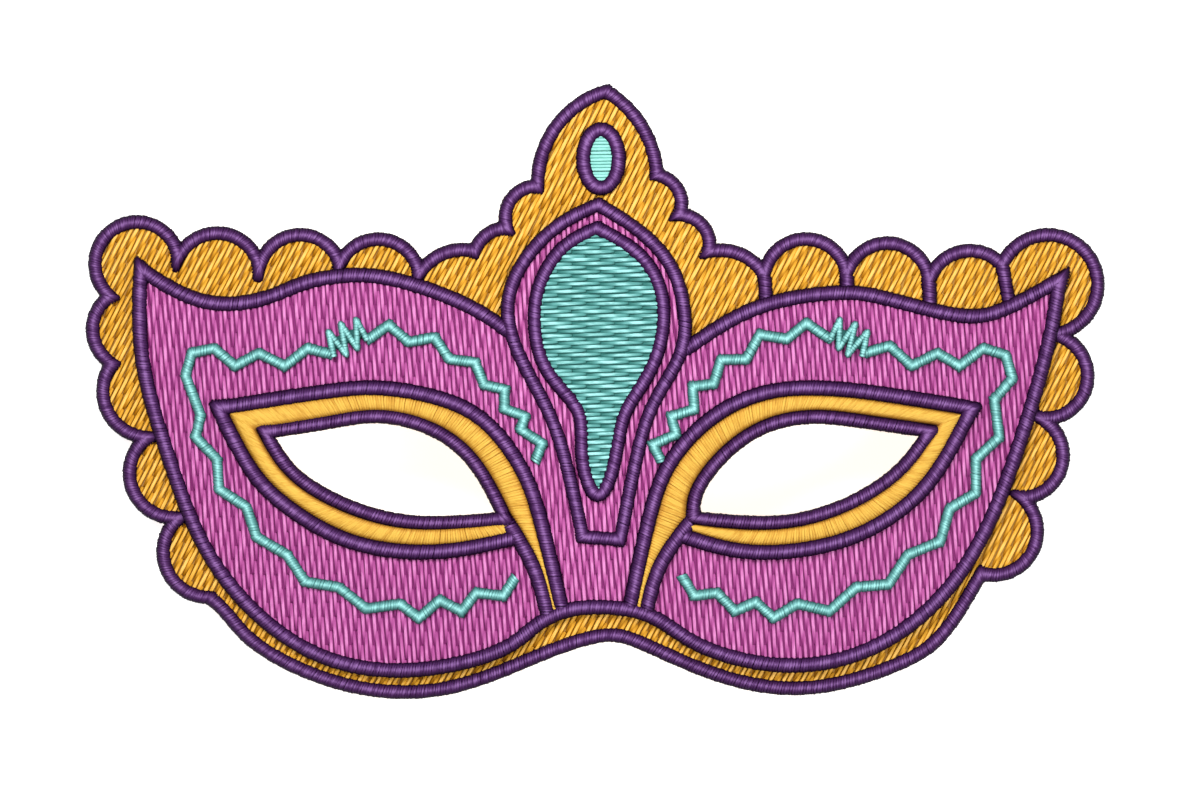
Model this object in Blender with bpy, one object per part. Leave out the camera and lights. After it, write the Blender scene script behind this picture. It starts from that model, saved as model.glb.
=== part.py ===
# Carnival half mask of stiffened felt, covered with padded satin trim.
# In the face frame +X goes to the right as the mask's face is looked at, +Y up the
# forehead and +Z out of the face. The whole mask is then laid on its rim, face up.
import math

import bmesh
import bpy
import numpy as np
from mathutils import Matrix, Vector
from mathutils.geometry import delaunay_2d_cdt

for thing in list(bpy.data.objects):
    bpy.data.objects.remove(thing, do_unlink=True)

# overall sizes, in metres
mask_width = 0.2032
mask_height = 0.1226
wrap_depth = 0.035
wrap_radius = 0.060
nose_rise = 0.0095
nose_spread = 0.0165
nose_top = 0.020
nose_bottom = -0.045
brow_radius = 0.250

# layer thicknesses and trim widths, in metres
felt_thickness = 0.0020
panel_thickness = 0.0010
gem_thickness = 0.0009
band_thickness = 0.0008
cord_height = 0.0011
cord_edge_height = 0.0006
cord_flat_share = 0.50
border_width = 0.0028
rim_wrap = 0.0006
zigzag_width = 0.0019
zigzag_height = 0.0009
fit_gap = 0.0003
least_band = 0.00012

# the stretches where a cusp of the rim runs under the panel's cord
cusp_clearance = 0.0009
cusp_slope = 0.0012
cusp_level = -0.00005
rim_lift = 0.00015

# flat places, in metres
rest_cut = 0.0006
strap_seat_size = 0.010
strap_seat_across = 0.0835
strap_seat_up = 0.0040

# distances between the points of the outlines and of the felt's inner grid
arc_step = 0.0032
smooth_step = 0.0048
eye_step = 0.0040
seam_step = 0.0030
grid_across_nose = 0.0040
grid_across_side = 0.0085
grid_up_nose = 0.0070
grid_up_side = 0.0105
nose_half_width = 0.032
edge_crowd = 0.0028
gem_crowd = 0.0020
seat_crowd = 0.0015
ground_crowd = 0.0008
mitre_limit = 1.9
rim_mitre_limit = 1.3

# levels above the backing's front face, square to the surface
panel_bottom = fit_gap
panel_top = panel_bottom + panel_thickness
trim_bottom = panel_top + fit_gap
trim_top = trim_bottom + cord_height
half_border = border_width / 2
trim_room = half_border + fit_gap


def smooth_share(value):
    # eases from 0 to 1 with level ends
    value = np.clip(value, 0.0, 1.0)
    return value * value * (3 - 2 * value)


def face_height(x, y):
    # a hyperbola wraps the head, a bell curve lifts the nose, a parabola rolls the brow
    full_wrap = math.hypot(mask_width / 2, wrap_radius) - wrap_radius
    wrap = wrap_depth * (np.sqrt(x * x + wrap_radius ** 2) - wrap_radius) / full_wrap
    nose_share = smooth_share((nose_top - y) / (nose_top - nose_bottom))
    nose = nose_rise * nose_share * np.exp(-0.5 * (x / nose_spread) ** 2)
    return nose - wrap - y * y / (2 * brow_radius)


def surface_point(x, y, level):
    # a level is measured square to the surface, so it grows with the slope
    step = 0.0001
    slope_x = (face_height(x + step, y) - face_height(x - step, y)) / (2 * step)
    slope_y = (face_height(x, y + step) - face_height(x, y - step)) / (2 * step)
    return face_height(x, y) + level * np.sqrt(1 + slope_x ** 2 + slope_y ** 2)


# outline tools: every outline is an array of plan points in the face frame


def place(rows):
    # the first two columns are shares of the mask's width and height
    return [(row[0] * mask_width, row[1] * mask_height) for row in rows]


def arc_chain(rows):
    # rows: across, up, bulge of the arc to the next row (sagitta over half chord)
    points = [np.array(p) for p in place(rows)]
    chain = [points[0]]
    for start, end, row in zip(points[:-1], points[1:], rows[:-1]):
        half = (end - start) / 2
        middle = (start + end) / 2
        reach = float(np.hypot(half[0], half[1]))
        left = np.array([-half[1], half[0]]) / reach
        half_angle = 2 * math.atan(row[2])
        radius = reach / math.sin(half_angle)
        count = max(2, math.ceil(2 * half_angle * radius / arc_step))
        for k in range(1, count + 1):
            angle = half_angle * (2 * k / count - 1)
            along = radius * math.sin(angle) / reach
            rise = radius * (math.cos(angle) - math.cos(half_angle))
            chain.append(middle + along * half + rise * left)
    return np.array(chain)


def spline_run(points, step):
    # natural cubic spline through the points, against the root of the chord length
    points = np.array(points)
    if len(points) == 2:
        count = max(1, math.ceil(np.linalg.norm(points[1] - points[0]) / step))
        return points[0] + np.linspace(0, 1, count + 1)[:, None] * (points[1] - points[0])
    chord = np.linalg.norm(np.diff(points, axis=0), axis=1)
    knot = np.concatenate([[0.0], np.cumsum(np.sqrt(chord))])
    gap = np.diff(knot)
    count = len(points)
    matrix = np.zeros((count, count))
    right = np.zeros((count, 2))
    matrix[0, 0] = 1
    matrix[-1, -1] = 1
    for k in range(1, count - 1):
        matrix[k, k - 1:k + 2] = gap[k - 1], 2 * (gap[k - 1] + gap[k]), gap[k]
        rise = (points[k + 1] - points[k]) / gap[k] - (points[k] - points[k - 1]) / gap[k - 1]
        right[k] = 6 * rise
    bend = np.linalg.solve(matrix, right)
    run = [points[0]]
    for k in range(count - 1):
        pieces = max(1, round(chord[k] / step))
        for share in np.arange(1, pieces + 1) / pieces:
            a = 1 - share
            b = share
            curve = (a ** 3 - a) * bend[k] + (b ** 3 - b) * bend[k + 1]
            run.append(a * points[k] + b * points[k + 1] + curve * gap[k] ** 2 / 6)
    return np.array(run)


def smooth_line(rows, step=smooth_step):
    # rows: across, up and, at a sharp corner, the word corner
    points = place(rows)
    corners = [k for k, row in enumerate(rows) if len(row) > 2]
    stops = sorted({0, len(rows) - 1, *corners})
    runs = [spline_run(points[a:b + 1], step) for a, b in zip(stops[:-1], stops[1:])]
    return np.vstack([runs[0]] + [run[1:] for run in runs[1:]])


def near_distance(points, line):
    # shortest distance from each point to a polyline
    start = line[:-1]
    step = np.diff(line, axis=0)
    size = np.maximum((step ** 2).sum(1), 1e-18)
    offset = points[:, None] - start
    share = np.clip((offset * step).sum(2) / size, 0, 1)
    nearest = offset - share[..., None] * step
    return np.sqrt((nearest ** 2).sum(2)).min(1)


def crossing(a, b, c, d):
    # where the line ab meets the line cd
    u = b - a
    v = d - c
    turn = u[0] * v[1] - u[1] * v[0]
    if abs(turn) < 1e-12:
        return (b + c) / 2
    share = ((c[0] - a[0]) * v[1] - (c[1] - a[1]) * v[0]) / turn
    return a + min(max(share, 0.0), 1.0) * u


def beside(line, distance, closed=False, mitre=mitre_limit):
    # the line moved to its left by distance, mitred outside and trimmed inside corners
    if closed:
        line = np.vstack([line, line[:1]])
    heading = np.diff(line, axis=0)
    heading /= np.linalg.norm(heading, axis=1)[:, None]
    left = np.stack([-heading[:, 1], heading[:, 0]], 1)
    raw = []
    last = len(line) - 1
    for k in range(last if closed else last + 1):
        before = left[k - 1] if k > 0 or closed else left[0]
        after = left[k] if k < last else left[-1]
        point = line[k]
        middle = before + after
        middle /= max(np.linalg.norm(middle), 1e-9)
        cosine = max(float(middle @ before), 1e-6)
        turn = before[0] * after[1] - before[1] * after[0]
        if cosine > 0.93:
            raw.append(point + middle * distance / cosine)
        elif turn * distance > 0:
            raw.append(point + before * distance)
            raw.append(point + after * distance)
        elif 1 / cosine <= mitre:
            raw.append(point + middle * distance / cosine)
        else:
            sine = math.sqrt(1 - cosine ** 2)
            run = abs(distance) * (mitre - cosine) / sine
            forward = np.array([before[1], -before[0]])
            backward = np.array([-after[1], after[0]])
            raw.append(point + before * distance + forward * run)
            raw.append(point + after * distance + backward * run)
    raw = np.array(raw)
    keep = near_distance(raw, line) > abs(distance) * 0.995
    count = len(raw)
    result = []
    for k in range(count):
        if keep[k]:
            result.append(raw[k])
            continue
        first = k == 0 or keep[k - 1]
        if closed and k == 0:
            first = keep[-1]
        if not first:
            continue
        end = k
        while not keep[end % count] and end < k + count:
            end += 1
        if not closed and (k == 0 or end >= count):
            continue
        a = raw[k - 1]
        b = raw[k % count]
        c = raw[(end - 1) % count]
        d = raw[end % count]
        result.append(crossing(a, b, c, d))
    return np.array(result)


def turn_sense(ring):
    # positive for a counter-clockwise ring
    ahead = np.roll(ring, -1, axis=0)
    return float((ring[:, 0] * ahead[:, 1] - ring[:, 1] * ahead[:, 0]).sum())


def band(line, width, closed=False, mitre=mitre_limit):
    # the outlines of a strip of a width along the line, the outer one first
    if closed:
        rings = [beside(line, side * width / 2, True, mitre) for side in (1, -1)]
        return sorted(rings, key=lambda ring: -abs(turn_sense(ring)))
    return [np.vstack([beside(line, width / 2), beside(line, -width / 2)[::-1]])]


def line_length(line):
    return np.concatenate([[0.0], np.cumsum(np.linalg.norm(np.diff(line, axis=0), axis=1))])


def cut_line(line, start, end):
    # the stretch of the line between two lengths along it
    along = line_length(line)
    inside = (along > start + 1e-5) & (along < end - 1e-5)
    ends = [[np.interp(s, along, line[:, k]) for k in (0, 1)] for s in (start, end)]
    return np.vstack([ends[0], line[inside], ends[1]])


def ring_line(ring):
    return np.vstack([ring, ring[:1]])


def stop_short(line, rings, width):
    # shortens the line's end until its square cap stands clear of a neighbour's outlines
    along = line_length(line)
    low = along[-1] * 0.3
    high = along[-1]
    for _ in range(24):
        middle = (low + high) / 2
        trial = cut_line(line, 0, middle)
        heading = trial[-1] - trial[-2]
        heading /= np.linalg.norm(heading)
        side = np.array([-heading[1], heading[0]]) * width / 2
        cap = trial[-1] + np.linspace(-1, 1, 7)[:, None] * side
        within = np.zeros(len(cap), bool)
        for ring in rings:
            within ^= inside(cap, ring)
        near = min(near_distance(cap, ring_line(ring)).min() for ring in rings)
        if within.any() or near < fit_gap * 1.02:
            high = middle
        else:
            low = middle
    return cut_line(line, 0, low)


def inside(points, outline):
    # which points lie in a closed outline, by counting the edges to their right
    a = outline
    b = np.roll(outline, -1, axis=0)
    x = points[:, 0][:, None]
    y = points[:, 1][:, None]
    spans = (a[:, 1] > y) != (b[:, 1] > y)
    rise = np.where(b[:, 1] == a[:, 1], 1e-12, b[:, 1] - a[:, 1])
    cross = a[:, 0] + (y - a[:, 1]) * (b[:, 0] - a[:, 0]) / rise
    return (spans & (x < cross)).sum(1) % 2 == 1


# body tools


def split_region(adds, cuts, lines, extra):
    # Delaunay triangles of the area in any of adds and in none of cuts, in plan
    points = []
    edges = []
    for ring in adds + cuts:
        first = len(points)
        points += [Vector(p * 1000) for p in ring]
        edges += [(first + k, first + (k + 1) % len(ring)) for k in range(len(ring))]
    for line in lines:
        first = len(points)
        points += [Vector(p * 1000) for p in line]
        edges += [(first + k, first + k + 1) for k in range(len(line) - 1)]
    points += [Vector(p * 1000) for p in extra]
    found = delaunay_2d_cdt(points, edges, [], 0, 0.002)
    plan = np.array([tuple(v) for v in found[0]]) / 1000
    faces = np.array([f for f in found[2] if len(f) == 3])
    middle = plan[faces].mean(1)
    wanted = np.zeros(len(faces), bool)
    for ring in adds:
        wanted |= inside(middle, ring)
    for ring in cuts:
        wanted &= ~inside(middle, ring)
    faces = faces[wanted]
    u = plan[faces[:, 1]] - plan[faces[:, 0]]
    v = plan[faces[:, 2]] - plan[faces[:, 0]]
    flipped = u[:, 0] * v[:, 1] - u[:, 1] * v[:, 0] < 0
    faces[flipped] = faces[flipped][:, ::-1]
    used, faces = np.unique(faces, return_inverse=True)
    return plan[used], faces.reshape(-1, 3)


def rim_loops(faces):
    # the boundary of a triangle mesh as loops of vertex numbers
    sides = {(int(f[k]), int(f[(k + 1) % 3])) for f in faces for k in range(3)}
    follow = {a: b for a, b in sorted(sides) if (b, a) not in sides}
    loops = []
    while follow:
        start = next(iter(follow))
        loop = [start]
        step = follow.pop(start)
        while step != start:
            loop.append(step)
            step = follow.pop(step)
        loops.append(loop)
    return loops


def plate(adds, cuts, bottom, top, lines=(), extra=(), spare_bottom=False):
    # a closed body between two levels; spare_bottom leaves the inner points off its back
    plan, faces = split_region(list(adds), list(cuts), list(lines), list(extra))
    loops = rim_loops(faces)
    if spare_bottom:
        rings = [plan[loop] for loop in loops]
        solid = [ring for ring in rings if turn_sense(ring) > 0]
        holes = [ring for ring in rings if turn_sense(ring) < 0]
        back_plan, back_faces = split_region(solid, holes, [], [])
    else:
        back_plan = plan
        back_faces = faces
    upper = top(plan) if callable(top) else np.full(len(plan), top)
    lower = bottom(back_plan) if callable(bottom) else np.full(len(back_plan), bottom)
    front = np.column_stack([plan, surface_point(plan[:, 0], plan[:, 1], upper)])
    back = np.column_stack([back_plan, surface_point(back_plan[:, 0], back_plan[:, 1], lower)])
    gaps = np.linalg.norm(plan[:, None] - back_plan[None], axis=2) if spare_bottom else None
    partner = gaps.argmin(1) if spare_bottom else np.arange(len(plan))
    count = len(front)
    walls = []
    for loop in loops:
        for a, b in zip(loop, loop[1:] + loop[:1]):
            c = count + int(partner[a])
            d = count + int(partner[b])
            walls.append((a, c, d))
            walls.append((a, d, b))
    triangles = faces.tolist() + (back_faces[:, ::-1] + count).tolist() + walls
    return np.vstack([front, back]), triangles


def cord(line, width, bottom, top, closed=False, cap=None, edge=cord_edge_height, mitre=mitre_limit):
    # a padded satin cord: level over its middle, falling towards both edges
    rings = band(line, width, closed, mitre)
    path = np.vstack([line, line[:1]]) if closed else line
    shoulder = cord_flat_share * width / 2
    ridges = []
    for side in (shoulder, -shoulder):
        ridge = beside(line, side, closed, mitre)
        ridges.append(np.vstack([ridge, ridge[:1]]) if closed else ridge[1:-1])
    full = width / 2

    def height(plan):
        away = near_distance(plan, path)
        fall = np.clip((away - shoulder) / (full - shoulder), 0, 1)
        level = top - fall * edge
        return level if cap is None else np.minimum(level, cap(plan))

    return plate(rings[:1], rings[1:], bottom, height, ridges, (), True)


def satin(name, colour):
    material = bpy.data.materials.new(name)
    material.use_nodes = True
    shader = material.node_tree.nodes["Principled BSDF"]
    shader.inputs["Base Color"].default_value = (*colour, 1)
    shader.inputs["Roughness"].default_value = 0.55
    shader.inputs["Metallic"].default_value = 0.0
    return material


# named colours of the threads and felt, linear red, green and blue
gold = satin("gold_felt", (0.62, 0.31, 0.035))
gold_satin = satin("gold_satin", (0.78, 0.45, 0.075))
magenta = satin("magenta_felt", (0.47, 0.10, 0.32))
purple = satin("purple_satin", (0.12, 0.045, 0.18))
teal = satin("teal_felt", (0.16, 0.45, 0.41))
aqua = satin("aqua_satin", (0.40, 0.87, 0.83))
bright_teal = satin("bright_teal_satin", (0.22, 0.75, 0.66))


def add_object(name, body, material, holder):
    vertices, triangles = body
    mesh = bpy.data.meshes.new(name)
    mesh.from_pydata(vertices.tolist(), [], triangles)
    mesh.materials.append(material)
    mesh.update()
    piece = bpy.data.objects.new(name, mesh)
    bpy.context.scene.collection.objects.link(piece)
    piece.parent = holder
    return piece


# outlines, read off the mask's front view; shares are from its middle

# columns: across share, up share, bulge of the arc to the next row, clockwise
rim_scallops = (
    (-0.384, -0.337, 0.71),
    (-0.414, -0.207, 0.77),
    (-0.445, -0.076, 0.61),
    (-0.480, 0.044, 0.55),
    (-0.482, 0.154, 1.46),
    (-0.415, 0.216, 0.73),
    (-0.335, 0.199, 0.79),
    (-0.256, 0.205, 0.76),
    (-0.178, 0.189, 0.33),
    (-0.123, 0.227, 0.33),
    (-0.091, 0.265, 0.54),
    (-0.061, 0.333, 0.34),
    (0.006, 0.488, 0.25),
    (0.056, 0.351, 0.49),
    (0.078, 0.286, 0.49),
    (0.107, 0.226, 0.33),
    (0.162, 0.188, 0.87),
    (0.243, 0.189, 0.84),
    (0.324, 0.178, 0.59),
    (0.396, 0.204, 1.80),
    (0.444, 0.092, 0.99),
    (0.433, -0.045, 0.78),
    (0.415, -0.175, 0.81),
    (0.375, -0.298, 0.0),
)

# columns: across share, up share, from the right cusp back to the left one
rim_underside = (
    (0.375, -0.298),
    (0.334, -0.402),
    (0.293, -0.446),
    (0.202, -0.485),
    (0.103, -0.456),
    (0.034, -0.407),
    (0.005, -0.399),
    (-0.053, -0.427),
    (-0.148, -0.484),
    (-0.256, -0.477),
    (-0.343, -0.407),
    (-0.368, -0.362),
    (-0.384, -0.337),
)

# columns: across share, up share; the seams from four right-hand cusps to the panel
scallop_seams = (
    ((0.162, 0.188), (0.164, 0.138)),
    ((0.243, 0.189), (0.244, 0.158)),
    ((0.324, 0.178), (0.325, 0.130)),
    ((0.396, 0.204), (0.404, 0.132)),
)

# columns: across share, up share, corner; from the medallion's left side round the
# bottom of the mask to the medallion's right side
panel_line = (
    (-0.086, 0.091),
    (-0.129, 0.137),
    (-0.206, 0.182),
    (-0.251, 0.187),
    (-0.291, 0.175),
    (-0.325, 0.153),
    (-0.369, 0.141),
    (-0.409, 0.156),
    (-0.452, 0.197, "corner"),
    (-0.450, 0.050),
    (-0.424, -0.110),
    (-0.381, -0.277),
    (-0.296, -0.415),
    (-0.192, -0.456),
    (-0.093, -0.419),
    (-0.025, -0.355),
    (0.030, -0.353),
    (0.098, -0.415),
    (0.187, -0.448),
    (0.280, -0.409),
    (0.357, -0.291),
    (0.408, -0.109),
    (0.442, 0.083),
    (0.452, 0.180, "corner"),
    (0.394, 0.130),
    (0.354, 0.122),
    (0.276, 0.152),
    (0.236, 0.159),
    (0.157, 0.136),
    (0.084, 0.066),
)

# columns: across share, up share, corner; clockwise from the tip
medallion_line = (
    (-0.002, 0.303, "corner"),
    (0.036, 0.263),
    (0.068, 0.207),
    (0.082, 0.139),
    (0.080, 0.065),
    (0.055, -0.014),
    (0.038, -0.095),
    (0.020, -0.243, "corner"),
    (-0.017, -0.239, "corner"),
    (-0.037, -0.097),
    (-0.056, -0.017),
    (-0.083, 0.072),
    (-0.090, 0.148),
    (-0.072, 0.217),
    (-0.039, 0.271),
    (-0.002, 0.303, "corner"),
)

# columns: across share, up share, corner; clockwise from the tip
gem_line = (
    (-0.003, 0.265, "corner"),
    (0.037, 0.224),
    (0.058, 0.171),
    (0.062, 0.107),
    (0.049, 0.032),
    (0.026, -0.032),
    (0.018, -0.081),
    (0.007, -0.154),
    (-0.003, -0.170),
    (-0.017, -0.115),
    (-0.020, -0.041),
    (-0.039, 0.005),
    (-0.058, 0.054),
    (-0.064, 0.131),
    (-0.055, 0.189),
    (-0.034, 0.236),
    (-0.003, 0.265, "corner"),
)

# columns: across share, up share, corner; the outer line of an eye from the nose
# arch over the eye and round its outer corner
left_eye_outline = (
    (-0.038, -0.355),
    (-0.059, -0.209),
    (-0.076, -0.132),
    (-0.114, -0.050),
    (-0.162, -0.011),
    (-0.217, 0.004),
    (-0.266, -0.001),
    (-0.376, -0.029, "corner"),
    (-0.341, -0.135),
    (-0.309, -0.188),
    (-0.257, -0.239),
    (-0.197, -0.262),
    (-0.138, -0.259),
    (-0.074, -0.236),
)
right_eye_outline = (
    (0.034, -0.355),
    (0.049, -0.205),
    (0.069, -0.118),
    (0.114, -0.040),
    (0.167, -0.002),
    (0.212, 0.004),
    (0.261, -0.002),
    (0.366, -0.029, "corner"),
    (0.329, -0.138),
    (0.293, -0.198),
    (0.245, -0.241),
    (0.187, -0.262),
    (0.132, -0.260),
    (0.071, -0.231),
)

# columns: across share, up share, corner; the line round an eye's opening, from its
# inner corner over the top
left_eye_edge = (
    (-0.093, -0.209, "corner"),
    (-0.126, -0.113),
    (-0.167, -0.062),
    (-0.217, -0.042),
    (-0.265, -0.051),
    (-0.330, -0.068, "corner"),
    (-0.306, -0.128),
    (-0.266, -0.175),
    (-0.216, -0.206),
    (-0.167, -0.216),
    (-0.093, -0.209, "corner"),
)
right_eye_edge = (
    (0.092, -0.208, "corner"),
    (0.095, -0.167),
    (0.125, -0.100),
    (0.167, -0.056),
    (0.212, -0.043),
    (0.261, -0.051),
    (0.325, -0.066, "corner"),
    (0.300, -0.122),
    (0.260, -0.172),
    (0.211, -0.205),
    (0.162, -0.216),
    (0.092, -0.208, "corner"),
)

# columns: across share, up share; the short line from an eye to the nose arch
left_eye_tail = (
    (-0.093, -0.209),
    (-0.065, -0.290),
    (-0.056, -0.361),
)
right_eye_tail = (
    (0.092, -0.208),
    (0.060, -0.286),
    (0.052, -0.361),
)

# across share, up share: the turns of each zigzag, from the nose bridge over the eye and under it
left_zigzag = (
    (-0.064, -0.117), (-0.057, -0.086), (-0.078, -0.064), (-0.074, -0.042), (-0.094, -0.030),
    (-0.094, 0.002), (-0.114, 0.009), (-0.123, 0.046), (-0.148, 0.051), (-0.163, 0.087),
    (-0.188, 0.079), (-0.208, 0.107), (-0.230, 0.081), (-0.262, 0.058), (-0.288, 0.069),
    (-0.310, 0.040), (-0.336, 0.061), (-0.359, 0.040), (-0.380, 0.069), (-0.402, 0.061),
    (-0.408, 0.024), (-0.393, -0.040), (-0.398, -0.076), (-0.377, -0.112), (-0.375, -0.161),
    (-0.348, -0.190), (-0.338, -0.239), (-0.308, -0.268), (-0.290, -0.312), (-0.257, -0.321),
    (-0.230, -0.356), (-0.197, -0.348), (-0.178, -0.371), (-0.158, -0.342), (-0.136, -0.360),
    (-0.122, -0.330), (-0.095, -0.335), (-0.083, -0.304),
)
right_zigzag = (
    (0.054, -0.097), (0.053, -0.087), (0.075, -0.071), (0.070, -0.043), (0.093, -0.030),
    (0.091, 0.006), (0.112, 0.011), (0.119, 0.050), (0.144, 0.051), (0.157, 0.091),
    (0.184, 0.084), (0.203, 0.110), (0.229, 0.081), (0.261, 0.061), (0.285, 0.073),
    (0.307, 0.040), (0.332, 0.061), (0.354, 0.040), (0.377, 0.069), (0.399, 0.058),
    (0.406, 0.020), (0.388, -0.015), (0.393, -0.076), (0.370, -0.112), (0.370, -0.167),
    (0.344, -0.193), (0.335, -0.246), (0.303, -0.268), (0.284, -0.316), (0.252, -0.321),
    (0.226, -0.360), (0.194, -0.348), (0.171, -0.371), (0.153, -0.345), (0.133, -0.360),
    (0.115, -0.330), (0.093, -0.335), (0.080, -0.301),
)

# ring and gem of the crest: centre and half axes as shares
crest_across = 0.001
crest_up = 0.378
crest_half_across = 0.0167
crest_half_up = 0.0465


rim = np.vstack([arc_chain(rim_scallops)[:-1], smooth_line(rim_underside)[:-1]])
rim_rings = band(rim, border_width, True, rim_mitre_limit)
medallion = smooth_line(medallion_line)[:-1]
medallion_rings = band(medallion, border_width, True)
gem_ring = smooth_line(gem_line, arc_step)[:-1]
panel_full = smooth_line(panel_line)
panel_rings = band(panel_full, border_width)
left_ring = smooth_line(left_eye_edge, eye_step)[:-1]
right_ring = smooth_line(right_eye_edge, eye_step)[:-1]
turn = np.linspace(0, 2 * np.pi, 19)[:-1]
crest_ring_line = np.column_stack([
    mask_width * (crest_across + crest_half_across * np.sin(turn)),
    mask_height * (crest_up + crest_half_up * np.cos(turn)),
])


def felt_grid():
    # inner points of a felt layer, closer together over the nose
    near = np.arange(0, nose_half_width, grid_across_nose)
    far = np.arange(near[-1] + grid_across_side, mask_width / 2, grid_across_side)
    middle = np.concatenate([-near[:0:-1], near])
    sides = np.concatenate([-far, far])
    half = mask_height / 2
    points = [(x, y) for x in middle for y in np.arange(-half, half, grid_up_nose)]
    points += [(x, y) for x in sides for y in np.arange(-half, half, grid_up_side)]
    return np.array(points)


def clear_of(points, lines, distance):
    # drops the grid points that crowd an outline
    keep = np.ones(len(points), bool)
    for line in lines:
        keep &= near_distance(points, ring_line(line)) > distance
    return points[keep]


# the rim's cord passes under the panel's cord where a cusp meets it
def rim_cap(plan):
    away = near_distance(plan, panel_full) - half_border
    share = np.clip((away - cusp_clearance) / cusp_slope, 0, 1)
    return cusp_level + share * (rim_top - cusp_level)


rim_top = panel_top - fit_gap + rim_lift
rim_bottom = -felt_thickness - rim_wrap
rim_body = cord(
    rim, border_width, rim_bottom, rim_top, True, rim_cap, mitre=rim_mitre_limit
)


# resting pose: the tilted plane under the rim that is highest below the middle


def rest_plane(points):
    # nested thirds search for the plane's two slopes
    def height(slope_x, slope_y):
        return float((points[:, 2] - slope_x * points[:, 0] - slope_y * points[:, 1]).min())

    def best_across(slope_y):
        low, high = -0.3, 0.3
        for _ in range(50):
            a = low + (high - low) / 3
            b = high - (high - low) / 3
            if height(a, slope_y) < height(b, slope_y):
                low = a
            else:
                high = b
        return (low + high) / 2

    low, high = -0.3, 0.3
    for _ in range(50):
        a = low + (high - low) / 3
        b = high - (high - low) / 3
        if height(best_across(a), a) < height(best_across(b), b):
            low = a
        else:
            high = b
    slope_y = (low + high) / 2
    return best_across(slope_y), slope_y


slope_x, slope_y = rest_plane(rim_body[0])
up_axis = Vector((-slope_x, -slope_y, 1)).normalized()
right_axis = (Vector((1, 0, 0)) - up_axis * up_axis.x).normalized()
front_axis = up_axis.cross(right_axis)
turn_flat = Matrix((right_axis, front_axis, up_axis))
laid = np.array(rim_body[0]) @ np.array(turn_flat).T
lift = -laid[:, 2].min() - rest_cut
middle = (laid.max(0) + laid.min(0)) / 2
holder = bpy.data.objects.new("mask_pose", None)
bpy.context.scene.collection.objects.link(holder)
holder.matrix_world = Matrix.Translation((-middle[0], -middle[1], lift)) @ turn_flat.to_4x4()


def shave_flat(piece):
    # cuts the rim level with the surface, which gives it small flats to rest on
    into_piece = holder.matrix_world.inverted()
    origin = into_piece @ Vector((0, 0, 0))
    down = into_piece.to_3x3() @ Vector((0, 0, -1))
    shape = bmesh.new()
    shape.from_mesh(piece.data)
    everything = shape.verts[:] + shape.edges[:] + shape.faces[:]
    cut = bmesh.ops.bisect_plane(
        shape, geom=everything, plane_co=origin, plane_no=down, clear_outer=True, dist=1e-6
    )
    edges = [e for e in cut["geom_cut"] if isinstance(e, bmesh.types.BMEdge)]
    bmesh.ops.holes_fill(shape, edges=edges, sides=0)
    bmesh.ops.triangulate(shape, faces=[f for f in shape.faces if len(f.verts) > 3])
    bmesh.ops.recalc_face_normals(shape, faces=shape.faces[:])
    shape.to_mesh(piece.data)
    shape.free()


shave_flat(add_object("outer_border", rim_body, purple, holder))

# felt backing with the two eye openings and two flat strap seats on its inner face
backing_edge = beside(rim, -trim_room, True, rim_mitre_limit)
left_opening = beside(left_ring, trim_room * (-1 if turn_sense(left_ring) > 0 else 1), True)
right_opening = beside(right_ring, trim_room * (-1 if turn_sense(right_ring) > 0 else 1), True)
seat_half = strap_seat_size / 2
seat_corners = np.array([(-1, -1), (1, -1), (1, 1), (-1, 1), (-1, -1)]) * seat_half
seat_squares = [seat_corners + (side * strap_seat_across, strap_seat_up) for side in (-1, 1)]


def backing_back(plan):
    # the seats follow their own tangent planes, the rest follows the surface
    level = np.full(len(plan), -felt_thickness)
    step = 0.0001
    for side in (-1, 1):
        x = side * strap_seat_across
        y = strap_seat_up
        here = (np.abs(plan[:, 0] - x) < seat_half + 1e-5) & (np.abs(plan[:, 1] - y) < seat_half + 1e-5)
        centre = surface_point(x, y, -felt_thickness)
        slope_a = (surface_point(x + step, y, -felt_thickness) - centre) / step
        slope_b = (surface_point(x, y + step, -felt_thickness) - centre) / step
        flat = centre + slope_a * (plan[:, 0] - x) + slope_b * (plan[:, 1] - y)
        zero = surface_point(plan[:, 0], plan[:, 1], 0.0)
        unit = surface_point(plan[:, 0], plan[:, 1], 1.0) - zero
        level = np.where(here, (flat - zero) / unit, level)
    return level


grid = felt_grid()
backing_points = grid[inside(grid, backing_edge)]
backing_points = clear_of(backing_points, [backing_edge, left_opening, right_opening], edge_crowd)
backing_points = clear_of(backing_points, [square[:-1] for square in seat_squares], seat_crowd)
for square in seat_squares:
    backing_points = backing_points[~inside(backing_points, square[:-1])]
backing_body = plate(
    [backing_edge], [left_opening, right_opening], backing_back, 0.0, seat_squares, backing_points
)
add_object("backing", backing_body, gold, holder)

# magenta felt face: both wings and the ground of the medallion
wing_edge = beside(panel_full, trim_room)
wing_join = spline_run([wing_edge[-1], wing_edge[0]], grid_across_nose)
wings = np.vstack([wing_edge, wing_join[1:-1]])
ground = beside(medallion, half_border, True)
panel_points = grid[inside(grid, wings) | inside(grid, ground)]
panel_points = clear_of(panel_points, [wings, left_opening, right_opening], edge_crowd)
panel_points = clear_of(panel_points, [ground], ground_crowd)
panel_body = plate(
    [wings, ground], [left_opening, right_opening], panel_bottom, panel_top, (), panel_points
)
add_object("face_panel", panel_body, magenta, holder)

# purple cord round the panel, stopping at both sides of the medallion
panel_cord = stop_short(panel_full, medallion_rings, border_width)
panel_cord = stop_short(panel_cord[::-1], medallion_rings, border_width)
add_object(
    "panel_border", cord(panel_cord, border_width, panel_bottom, trim_top - fit_gap), purple, holder
)

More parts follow.
